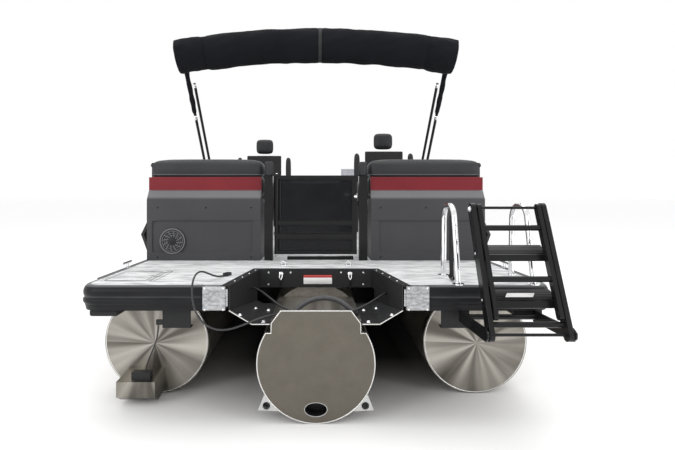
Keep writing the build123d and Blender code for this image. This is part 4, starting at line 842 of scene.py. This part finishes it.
# %% Bow lounges
for side, word in ((-1, "port"), (1, "starboard")):
    body = f"{word}_lounge_seat"
    low, high = across(side, 548, 1070, 5100, 6412, 1046, 1165)
    ribs_at = tuple(STERN + d for d in (5.43, 5.76, 6.09))
    seat = cushion(f"{word}_lounge_pad", low, high, body, f"{word}_lounge_cushion", radius=0.03,
                   seams=((), ribs_at, ()))
    bead(f"{word}_lounge_piping", seat, loop_points(low, high, 2, high.z - 0.028), 0.004, body,
         red_vinyl, True)
    low, high = across(side, 1084, 1180, 5084, 6400, 1166, 1400)
    side_back = cushion(f"{word}_lounge_side_back", low, high, "hull", "bow_lounge_backs", radius=0.026,
                        step=0.035, seams=((), ribs_at, ()), settle=False)
    bead(f"{word}_side_back_piping", side_back, loop_points(low, high, 2, high.z - 0.03), 0.004, "hull",
         red_vinyl, True)
    low, high = across(side, 560, 1180, 4950, 5084, 1166, 1400)
    head = cushion(f"{word}_lounge_head", low, high, "hull", None, radius=0.035,
                   seams=((side * 0.87,), (), ()),
                   settle=False)
    bead(f"{word}_head_piping", head, loop_points(low, high, 1, (low.y + high.y) / 2), 0.004, "hull",
         red_vinyl, True)
print("bow lounges done")

# %% Captain's chairs
CHAIR_PADS = (
    ("seat", (-250, -173, 1067), (250, 285, 1165), 0.035, ((-0.15, 0.15), (), ())),
    ("back", (-205, -174, 1167), (205, -65, 1690), 0.04, ((-0.12, 0.12), (), ())),
    ("head", (-107, -174, 1693), (107, -85, 1878), 0.035, ((), (), ())),
    ("port_arm", (-327, -225, 1330), (-257, -155, 1655), 0.03, ((), (), ())),
    ("starboard_arm", (257, -225, 1330), (327, -155, 1655), 0.03, ((), (), ())),
)
for word, x, distance in (("starboard", 740, 2980), ("port", -624, 3560)):
    body = f"{word}_chair"
    middle = at(x, distance, 0)
    for part, low, high, radius, seams in CHAIR_PADS:
        low = middle + Vector(low) / 1000
        high = middle + Vector(high) / 1000
        placed = tuple(tuple(middle[n] + s for s in seams[n]) for n in range(3))
        pad = cushion(f"{word}_chair_{part}", low, high, body, f"{word}_chair_cushions", radius=radius,
                      step=0.025, seams=placed, cap=0.010, settle=part in ("seat", "back"))
        if part == "back":
            bead(f"{word}_chair_back_piping", pad, loop_points(low, high, 1, high.y - 0.03), 0.004,
                 body, red_vinyl, True)
        if part == "seat":
            bead(f"{word}_chair_seat_piping", pad, loop_points(low, high, 2, high.z - 0.03), 0.004,
                 body, red_vinyl, True)
print("chairs done")

# %% [markdown]
# ## Stowed canvas top
# The top is rolled round its bow inside a zipped canvas sleeve called a boot.  It is a
# long tube that sags and wrinkles between its seams, so it is lofted from rings whose
# radius follows folds that run slantwise along it, tighter at the straps and seams.
# %% Boot
BOOT_HALF = 1.255
BOOT_STATION = 1880.0
BOOT_END = 2442.0
BOOT_RISE = 105.0


def boot_ring(x, scale=1.0):
    """One ring of the boot at a distance from the middle."""
    share = x / BOOT_HALF
    centre = at(x * 1000, BOOT_STATION, BOOT_END + BOOT_RISE * (1 - share * share))
    tilt = math.atan(-2 * BOOT_RISE / 1000 * share / BOOT_HALF)
    pinch = sum(math.exp(-((x - p) / 0.022) ** 2) for p in (-1.0, 0.037, 1.0))
    loop = []
    for n in range(56):
        t = math.tau * n / 56
        slant = x * 7.0 + 1.4 * math.sin(2 * t)
        fold = noise.noise(Vector((slant, 1.2 * math.cos(t), 1.2 * math.sin(t))))
        small = noise.noise(Vector((x * 19.0, 3.0 * math.cos(t) + 4.0, 3.0 * math.sin(t))))
        ends = min(1.0, (BOOT_HALF - abs(x)) / 0.35)
        size = (0.955 + 0.055 * fold + 0.03 * small * (1.4 - ends) - 0.035 * pinch) * scale
        droop = 0.012 * max(0.0, -math.sin(t)) * noise.noise(Vector((x * 4.0, 7.0, 0.0)))
        y = 0.130 * size * math.cos(t)
        up = 0.158 * size * math.sin(t) - droop
        loop.append(centre + Vector((-up * math.sin(tilt), y, up * math.cos(tilt))))
    return loop


rings = [boot_ring(-BOOT_HALF + 0.02, 0.72), boot_ring(-BOOT_HALF + 0.006, 0.9)]
count = 260
for i in range(count + 1):
    rings.append(boot_ring((-1 + 2 * i / count) * (BOOT_HALF - 0.004)))
rings += [boot_ring(BOOT_HALF - 0.006, 0.9), boot_ring(BOOT_HALF - 0.02, 0.72)]
boot = link(skin("bimini_boot_canvas", rings), "bimini", canvas)
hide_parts("bimini_boot")


def boot_band(name, x, width, lift, finish):
    """A strap or doubled seam that goes round the boot."""
    rings = []
    for shift in (-width / 2, -width / 2, width / 2, width / 2):
        rings.append(boot_ring(x + shift, 1.0))
    middle = [sum((p for p in r), Vector()) / len(r) for r in rings]
    for k, grow in enumerate((0.0, lift, lift, 0.0)):
        rings[k] = [p + (p - middle[k]).normalized() * grow for p in rings[k]]
    return link(skin(name, rings, closed_ends=False), "bimini", finish)


for name, x in (("port_boot_seam", -1.0), ("starboard_boot_seam", 1.0)):
    boot_band(name, x, 0.016, 0.0025, canvas)
boot_band("middle_boot_strap", 0.037, 0.03, 0.003, webbing)
zip_line = [boot_ring(-1.24 + 2.48 * i / 160)[44] for i in range(161)]
link(poly_line("boot_zip", zip_line, 0.005), "bimini", webbing)
print("boot", len(boot.data.polygons), "faces")

# %% Straps, socks and leg fittings
LEG_X = 1203.0
LEAN = math.radians(43.5)


def up_leg(side, distance, forward=0.0):
    """A point on a bow leg, this many millimetres above its hinge."""
    return at(side * LEG_X, 2840 + forward - distance * math.sin(LEAN), 1455 + distance * math.cos(LEAN))


def sleeve(name, start, end, sizes, body, finish, folds=0.0, sides=28):
    """A round sleeve between two points with a radius at each step."""
    turn = (end - start).to_track_quat("Z", "Y").to_matrix()
    rings = []
    for k, size in enumerate(sizes):
        centre = start.lerp(end, k / (len(sizes) - 1))
        loop = []
        for n in range(sides):
            t = math.tau * n / sides
            wave = folds * noise.noise(Vector((math.cos(t) * 1.5, math.sin(t) * 1.5, k * 0.4)))
            loop.append(centre + turn @ Vector(((size + wave) * math.cos(t),
                                                (size + wave) * math.sin(t), 0)))
        rings.append(loop)
    return link(skin(name, rings), body, finish)


for side, word in ((-1, "port"), (1, "starboard")):
    sizes = [0.016] + [0.022] * 3 + [0.023 + 0.0015 * math.sin(k) for k in range(14)] + [0.03, 0.034]
    sock = sleeve(f"{word}_leg_sock", up_leg(side, 760), up_leg(side, 1250), sizes, "bimini", canvas,
                  0.004)
    sleeve(f"{word}_leg_clamp", up_leg(side, 690), up_leg(side, 735), [0.018, 0.0195, 0.0195, 0.018],
           "bimini", chrome)
    sleeve(f"{word}_leg_foot", up_leg(side, 12), up_leg(side, 52), [0.0155, 0.018, 0.018, 0.0155], "bimini",
           chrome)
    sleeve(f"{word}_strut_clamp", up_leg(side, 1118, 260), up_leg(side, 1160, 260),
           [0.015, 0.0185, 0.0185, 0.014],
           "bimini_struts", chrome)
print("top fittings done")

# %% [markdown]
# ## Welds and bright edges
# The motor plate and the tube caps are welded on, so each has a bright bead round its
# rim.  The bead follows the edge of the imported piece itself: the loops are read from the
# faces that look aft.
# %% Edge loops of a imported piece
def aft_loops(node, y_limit):
    """Closed edge loops round the aft-facing faces of a node that lie aft of y_limit."""
    mesh = bmesh.new()
    mesh.from_mesh(nodes[node].data)
    bmesh.ops.remove_doubles(mesh, verts=mesh.verts, dist=0.0002)
    faces = [f for f in mesh.faces if f.normal.y < -0.98 and f.calc_center_median().y < y_limit]
    chosen = set(faces)
    border = [e for e in mesh.edges if sum(f in chosen for f in e.link_faces) == 1]
    links = {}
    for edge in border:
        for v in edge.verts:
            links.setdefault(v, []).append(edge.other_vert(v))
    loops, seen = [], set()
    for start in links:
        if start in seen:
            continue
        loop, here = [], start
        while here is not None and here not in seen:
            seen.add(here)
            loop.append(here.co.copy())
            here = next((v for v in links[here] if v not in seen), None)
        loops.append(loop)
    mesh.free()
    return sorted(loops, key=lambda loop: -sum((b - a).length for a, b in zip(loop, loop[1:])))


plate_loops = aft_loops("transom_plate", STERN + 0.004)
for k, loop in enumerate(plate_loops[:2]):
    moved = [Vector((p.x * 0.99, p.y + 0.0015, 0.31 + (p.z - 0.31) * 0.99)) for p in loop]
    link(poly_line(f"motor_plate_edge_{k}", moved, 0.0035 if k == 0 else 0.002, True), "hull",
         weld if k == 0 else mill)
print("plate loops", [len(loop) for loop in plate_loops])


def circle_line(name, centre, radius, normal, thickness, body, finish, sides=72):
    """A round wire in space, such as a weld bead or a rim."""
    turn = Vector(normal).to_track_quat("Z", "Y").to_matrix()
    loop = [Vector(centre) + turn @ Vector((radius * math.cos(t), radius * math.sin(t), 0))
            for t in (math.tau * n / sides for n in range(sides))]
    return link(poly_line(name, loop, thickness, True), body, finish)


for side, word in ((-1, "port"), (1, "starboard")):
    for k, (distance, size) in enumerate(((401, TUBE_R - 0.004), (414, TUBE_R - 0.0005))):
        centre = at(side * SIDE_TUBE_X * 1000, distance, 310)
        circle_line(f"{word}_cap_weld_{k}", centre, size - 0.003, (0, 1, 0), 0.0035, "hull", weld,
                    120)
for k, distance in enumerate((1600, 2900, 4200, 5500)):
    for word, x in (("port", -SIDE_TUBE_X), ("centre", 0.0), ("starboard", SIDE_TUBE_X)):
        circle_line(f"{word}_sheet_seam_{k}", at(x * 1000, distance, 310), TUBE_R - 0.0012, (0, 1, 0),
                    0.0022, "hull",
                    weld, 96)

# %% Painted shade: a black disc and black lining deep in the drain hole
drain_shade_rings = []
for depth, grow in ((86, 1.0), (70, 0.995), (66, 0.8), (66, 0.05)):
    drain_shade_rings.append([at(59 * grow * math.cos(t), depth, 72 + 36 * grow * math.sin(t))
                        for t in (math.tau * n / 48 for n in range(48))])
link(skin("drain_shade_disc", drain_shade_rings), "hull", rubber)
drain_shade_wall = [[at(59.2 * math.cos(t), depth,
                  72 + 36.2 * math.sin(t)) for t in (math.tau * n / 48 for n in range(48))]
              for depth in (13, 40, 66)]
link(skin("drain_shade_liner", drain_shade_wall, closed_ends=False), "hull", rubber)

# %% [markdown]
# ## Small hardware
# Screws, bolts, eyes and latches are lathe shapes: a profile turned round an axis.  One
# helper turns any list of radius and height pairs, so each fitting is a short list.
# %% Turned shapes
def turned(name, place, axis, profile, body, finish, sides=28):
    """A profile of (radius, height) pairs in millimetres, turned round an axis."""
    turn = Vector(axis).to_track_quat("Z", "Y").to_matrix()
    rings = []
    for size, height in profile:
        rings.append([Vector(place) + turn @ Vector((size / 1000 * math.cos(t),
                                                     size / 1000 * math.sin(t), height / 1000))
                      for t in (math.tau * n / sides for n in range(sides))])
    return link(skin(name, rings), body, finish)


SCREW = ((6.0, -1.0), (6.0, 0.4), (5.0, 1.8), (2.6, 2.6), (2.2, 1.6), (0.3, 1.5))
BOLT = ((15.0, -1.0), (15.0, 1.5), (14.0, 2.4), (9.5, 2.6), (9.5, 8.0), (8.0, 9.4), (0.3, 9.8))
AFT = (0, -1, 0)

# %% Stern caps, well latches and labels
for side, word in ((-1, "port"), (1, "starboard")):
    for k, (x, z) in enumerate(((482, 596), (578, 596), (482, 706), (578, 706))):
        turned(f"{word}_cap_screw_{k}", at(side * x, -6, z), AFT, SCREW, "hull", chrome)
    for k in range(7):
        z = 616 + 12 * k
        tab = [at(side * 462, 3.4, z), at(side * 462, 3.4, z + 6)]
        link(poly_line(f"{word}_cap_tab_{k}", tab, 0.0032), "hull", chrome)

BACK_WALL = 554.5
for word, x in (("port", -221), ("starboard", 216)):
    hook = [at(x + dx, BACK_WALL - depth, z) for dx, depth, z in
            ((-9, 1, 690), (-9, 9, 688), (-9, 14, 678), (-6, 17, 664), (0, 18, 658), (6, 17, 664),
             (9, 14, 678),
             (9, 9, 688), (9, 1, 690))]
    link(poly_line(f"{word}_well_latch", hook, 0.0035), "hull", chrome)
    turned(f"{word}_well_latch_boss", at(x, BACK_WALL + 0.5, 690), AFT, BOLT, "hull", chrome)
    strap = [[at(x - 5, BACK_WALL - d, z), at(x + 5, BACK_WALL - d, z), at(x + 5, BACK_WALL - d - 2, z),
              at(x - 5, BACK_WALL - d - 2, z)] for d, z in ((15, 662), (12, 645), (6, 628), (3, 614))]
    link(skin(f"{word}_well_latch_tongue", strap), "hull", speaker_black)
for k, (x, z) in enumerate(((-300, 700), (300, 700), (-300, 625), (300, 625), (-160, 700), (160, 700))):
    turned(f"well_wall_screw_{k}", at(x, BACK_WALL + 0.5, z), AFT, SCREW, "hull", chrome)


def plaque(name, corners, thickness, body, finish):
    """A thin plate with softened edges between four corners; thickness is a vector."""
    middle = sum((c for c in corners), Vector()) / len(corners)
    rings = []
    for lift, grow in ((0.0, 1.0), (0.7, 1.0), (1.0, 0.985)):
        ring_points = []
        for a, b in zip(corners, corners[1:] + corners[:1]):
            for share in (0.0, 0.06, 0.5, 0.94):
                p = a.lerp(b, share)
                spread = grow * (0.985 if share == 0.0 else 1.0)
                ring_points.append(middle + (p - middle) * spread + thickness * lift)
        rings.append(ring_points)
    return link(skin(name, rings), body, finish)


def wall_label(name, x0, x1, z0, z1, finish):
    corners = [at(x0, BACK_WALL + 0.4, z0), at(x1, BACK_WALL + 0.4, z0), at(x1, BACK_WALL + 0.4, z1),
               at(x0, BACK_WALL + 0.4, z1)]
    return plaque(name, corners, Vector((0, -0.0012, 0)), "hull", finish)


wall_label("well_blank_label", -78, 102, 628, 668, blank_white)
wall_label("well_blank_label_head", -78, 102, 668, 684, blank_red)

# %% Ramps of the motor well
def ramp_z(x):
    """Height of the ramp's upper face at a distance from the middle."""
    flat, slope = 519.0, (587.0 - 514.0) / (455.0 - 333.0)
    return flat if x < 333 else flat + slope * (x - 333)


for k in range(9):
    distance = 60 + 42 * k
    outer = 452 - (455 - 360) * distance / 560 - 8
    ridge = [at(x, distance, ramp_z(x) + 0.6) for x in (252, 300, 333, (333 + outer) / 2, outer)]
    link(poly_line(f"ramp_rib_{k}", ridge, 0.0022), "hull", well_mould)
for side, word in ((-1, "port"), (1, "starboard")):
    rim = [at(side * x, 1.0, ramp_z(x) - 1.0) for x in (241, 333, 452)]
    link(poly_line(f"{word}_ramp_edge", rim, 0.0028), "hull", weld)
    for k, (x, distance) in enumerate(((278, 40), (400, 24), (278, 300), (352, 300))):
        spot = at(side * x, distance, ramp_z(x) + 0.5)
        turned(f"{word}_ramp_bolt_{k}", spot, (0, 0, 1), BOLT, "hull", chrome)
    for k in range(4):
        spot = at(side * (378 + 22 * k), 520 - 128 * k, 720)
        turned(f"{word}_flange_screw_{k}", spot, (0, 0, 1), SCREW, "hull", chrome)
    staple = [at(side * 220 + 16 * math.cos(t), 782, 716 + 24 * math.sin(t)) for t in
              (math.pi * n / 14 for n in range(15))]
    link(poly_line(f"{word}_deck_eye", staple, 0.004), "hull", chrome)
    turned(f"{word}_deck_eye_foot", at(side * 220, 782, 716), (0, 0, 1),
           ((24, 0), (24, 2), (21, 4), (0.3, 4.2)), "hull",
           chrome)

# %% Speaker grille
grille_grey = moulded("speaker_grille", rgb(0.12, 0.12, 0.125), rgb(0.22, 0.22, 0.225), 0.3)
speaker_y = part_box("rear_speaker")[0].y
speaker_centre = Vector((-1.042, speaker_y, 0.857))
for k, (size, thick) in enumerate(((0.0885, 0.0045), (0.074, 0.002), (0.058, 0.0016), (0.043, 0.0016))):
    circle_line(f"speaker_ring_{k}", speaker_centre + Vector((0, -0.0005, 0)), size, AFT, thick, "hull",
                grille_grey,
                64)
for k in range(12):
    t = math.tau * k / 12
    spoke = [speaker_centre + Vector((r * math.cos(t + r * 6), -0.001, r * math.sin(t + r * 6)))
             for r in (0.028, 0.04, 0.052, 0.064, 0.075)]
    link(poly_line(f"speaker_spoke_{k}", spoke, 0.0026), "hull", grille_grey)
turned("speaker_dome", speaker_centre, AFT, ((28, -1), (28, 1.5), (24, 4), (15, 6.5), (0.5, 7.5)),
       "hull", speaker_black,
       40)

# %% Piping along the red bands, and the panels' trim screws
for side, word in ((-1, "port"), (1, "starboard")):
    for name, z in (("low", 1230), ("high", 1322)):
        line = [at(side * x, 1058.5, z) for x in range(405, 1230, 25)]
        link(poly_line(f"{word}_band_piping_{name}", line, 0.0035), "hull", red_vinyl)
    seam = [at(side * x, 1009.6, z) for x, z in
            ((410, 1010), (460, 1010), (1150, 1010), (1192, 990), (1192, 800), (1185, 780))]
    link(poly_line(f"{word}_panel_crease", seam, 0.0022), "hull", grey_mould)
    for k, (x, z) in enumerate(((470, 1100), (800, 1100), (1150, 1100), (470, 740), (1150, 740))):
        turned(f"{word}_panel_screw_{k}", at(side * x, 1010, z), AFT, SCREW, "hull", black_metal)

# %% Stern gate hinges and latch
for k, z in enumerate((742, 1344)):
    turned(f"gate_hinge_pin_{k}", at(-288, 1040, z), (0, 0, 1), ((9, 0), (9, 6), (7, 8), (0.3, 8.5)), "hull",
           chrome)
turned("gate_latch_knob", at(288, 1022.5, 1180), AFT,
       ((11, -1), (11, 3), (7, 5), (7, 12), (12, 15), (12, 21), (9, 24), (0.3, 25)),
       "stern_gate", chrome)
for k, (z0, z1) in enumerate(((786, 872), (909, 974), (1003, 1309))):
    inner = [(-262 + 9, z0 + 5), (262, z0 + 5), (262 + 5, z0 + 10), (267, z1 - 10), (262, z1 - 5),
             (-253, z1 - 5),
             (-258, z1 - 10), (-258, z0 + 10)]
    link(poly_line(f"gate_pane_bead_{k}", [at(x, 1030, z) for x, z in inner], 0.004, True),
         "stern_gate", rubber)

# %% Hatch ring and border
hatch_corners = ((-1172, 170), (-944, 170), (-944, 478), (-1172, 478))
link(poly_line("hatch_border", [at(x, d, 716.2) for x, d in hatch_corners], 0.0015, True),
     "platform_hatch", rubber)
turned("hatch_pull", at(-958, 320, 716), (0, 0, 1),
       ((17, -0.5), (17, 0.8), (14, 1.8), (11, 1.0), (0.5, 0.9)), "platform_hatch",
       chrome)
strip = [at(x, d, 716.1) for x, d in ((-915, 150), (-890, 150), (-890, 498), (-915, 498))]
link(poly_line("hatch_side_strip", strip, 0.0014, True), "hull", rubber)
print("stern hardware done")

# %% [markdown]
# ## Boarding ladder
# The ladder hangs folded, so its treads and bolts face aft.  Its own frame is a point and
# a lean, and every fitting is placed in that frame.
# %% Ladder details
LADDER_X = 953.0
LADDER_LEAN = math.radians(25.0)
LADDER_Y, LADDER_Z = -358.0, 565.0


def ladder(x, y, z):
    """A point in the ladder's own frame: across, forward of its plane, and up it."""
    c, s = math.cos(LADDER_LEAN), math.sin(LADDER_LEAN)
    return at(LADDER_X + x, LADDER_Y + y * c + z * s, LADDER_Z - y * s + z * c)


for side, word in ((-1, "port"), (1, "starboard")):
    for k, z in enumerate((0, 612)):
        turned(f"{word}_ladder_bolt_{k}", ladder(side * 185, 0, z), (side, 0, 0), BOLT, "ladder_main",
               chrome)
    for k, z in enumerate((150, 375)):
        turned(f"{word}_tread_bolt_{k}", ladder(side * 185, 16, z + 10), (side, 0, 0), SCREW,
               "ladder_main", chrome)
    for k, y in enumerate((-29, 29)):
        edge = [ladder(side * 184, y, z) for z in range(10, 605, 45)]
        link(poly_line(f"{word}_ladder_edge_{k}", edge, 0.0018), "ladder_main", black_metal)
for k, z in enumerate((150, 375)):
    for n in range(6):
        share = (n + 1) / 7
        line = [ladder(x, 12 + 62 * share, z + 5 + 68 * share) for x in range(-155, 156, 31)]
        link(poly_line(f"tread_grip_{k}_{n}", line, 0.0022), "ladder_main", rubber)
tread_face = [ladder(-70, 30, 175 - 0.5), ladder(60, 30, 175 - 0.5), ladder(80, 52, 199 - 0.5),
              ladder(-50, 52, 199 - 0.5)]
slope_normal = (ladder(0, 12, 3) - ladder(0, 76, 74)).cross(Vector((1, 0, 0))).normalized()
if slope_normal.z < 0:
    slope_normal = -slope_normal
plaque("ladder_blank_label", [c + slope_normal * 0.003 for c in tread_face], slope_normal * 0.001,
       "ladder_main",
       blank_white)

# %% Handrail strap and the line cleat under it
strap = []
for k in range(15):
    share = k / 14
    x, d, z = 753, 168 + 14 * math.sin(share * 3.0), 1108 - 372 * share
    strap.append([at(x - 12, d, z), at(x + 12, d, z), at(x + 12, d - 2.5, z), at(x - 12, d - 2.5, z)])
link(skin("handrail_strap", strap), "hull", webbing)
cleat_line = [at(753, 168 + d, 716 + z) for d,
              z in ((-46, 22), (-34, 16), (-18, 12), (0, 10), (18, 12), (34, 16), (46, 22))]
link(poly_line("handrail_cleat", cleat_line, 0.009), "hull", black_metal)
print("ladder done")

# %% [markdown]
# ## Helm
# The dash carries plain round gauges with unmarked faces, a row of rocker switches, and
# cup holders; the wheel has a stitched grip and a domed hub.
# %% Dash frame and gauges
DASH_LOW = at(740, 3750, 1120)
DASH_HIGH = at(740, 3900, 1330)
dash_up = (DASH_HIGH - DASH_LOW).normalized()
dash_out = Vector((0, -dash_up.z, dash_up.y))


def on_dash(x, share, lift=0.0):
    """A point on the sloping dash: across in millimetres, and 0 to 1 up it."""
    place = DASH_LOW.lerp(DASH_HIGH, share)
    place.x = x / 1000
    return place + dash_out * lift / 1000


for k, (x, share, size) in enumerate(((600, 0.72, 44), (740, 0.76, 52), (880, 0.72, 44))):
    turned(f"gauge_{k}", on_dash(x, share), dash_out,
           ((size, -1), (size, 4), (size - 5, 7), (size - 8, 3), (0.5, 2.6)), "hull",
           speaker_black, 40)
    circle_line(f"gauge_rim_{k}", on_dash(x, share, 5.5), (size - 2.5) / 1000, dash_out, 0.0022, "hull",
                chrome, 48)
    needle = [on_dash(x, share, 4), on_dash(x + size * 0.45, share + 0.08, 4)]
    link(poly_line(f"gauge_needle_{k}", needle, 0.0012), "hull", blank_red)
for k in range(6):
    corners = [on_dash(960 + 26 * k, 0.3), on_dash(980 + 26 * k, 0.3), on_dash(980 + 26 * k, 0.46),
               on_dash(960 + 26 * k, 0.46)]
    plaque(f"rocker_switch_{k}", corners, dash_out * 0.006, "hull", speaker_black)
for k, x in enumerate((400, 500)):
    turned(f"dash_cup_{k}", on_dash(x, 0.4), dash_out,
           ((40, -1), (40, 3), (36, 4.5), (34, 2), (33, 0.5), (0.5, 0.4)), "hull",
           chrome, 36)

# %% Steering wheel grip and hub
wheel_joint = next(j for j in frame["joints"] if j["name"] == "steering")
wheel_axis = Vector(wheel_joint["axis"]).normalized()
hinge = Vector(wheel_joint["pos_m"])
points = [v.co for v in nodes["steering_wheel"].data.vertices]
rim_reach = max(((p - hinge) - wheel_axis * (p - hinge).dot(wheel_axis)).length for p in points)
far = [p for p in points if ((p - hinge) - wheel_axis * (p - hinge).dot(wheel_axis)).length > rim_reach * 0.9]
standoff = sum((p - hinge).dot(wheel_axis) for p in far) / len(far)
wheel_centre = hinge + wheel_axis * standoff
turn = wheel_axis.to_track_quat("Z", "Y").to_matrix()
stitches = []
for k in range(180):
    t = math.tau * k / 180
    stitches.append(wheel_centre + turn @ Vector(((rim_reach - 0.0262) * math.cos(t),
                                                  (rim_reach - 0.0262) * math.sin(t), 0)))
link(poly_line("wheel_stitching", stitches, 0.0012, True), "steering_wheel", thread)
out_sign = 1 if standoff > 0 else -1
turned("wheel_hub_cap", wheel_centre + wheel_axis * out_sign * 0.012, wheel_axis * out_sign,
       ((30, 0), (30, 4), (26, 8), (14, 10), (0.5, 11)),
       "steering_wheel", chrome, 36)

# %% Fence trim, lounge doors and gate latches
for side, word in ((-1, "port"), (1, "starboard")):
    for k, (d0, d1) in enumerate(((5010, 5640), (5700, 6350))):
        door = [at(side * 559.4, d, z) for d, z in
                ((d0 + 20, 760), (d1 - 20, 760), (d1, 780), (d1, 1000), (d1 - 20, 1020),
                 (d0 + 20, 1020), (d0, 1000), (d0, 780))]
        link(poly_line(f"{word}_lounge_door_{k}", door, 0.003, True), "hull", grey_mould)
        turned(f"{word}_lounge_pull_{k}", at(side * 560, (d0 + d1) / 2, 980), (-side, 0, 0),
               ((16, -1), (16, 2), (12, 4), (9, 2), (0.5, 1.8)), "hull", chrome)
print("helm and doors done")
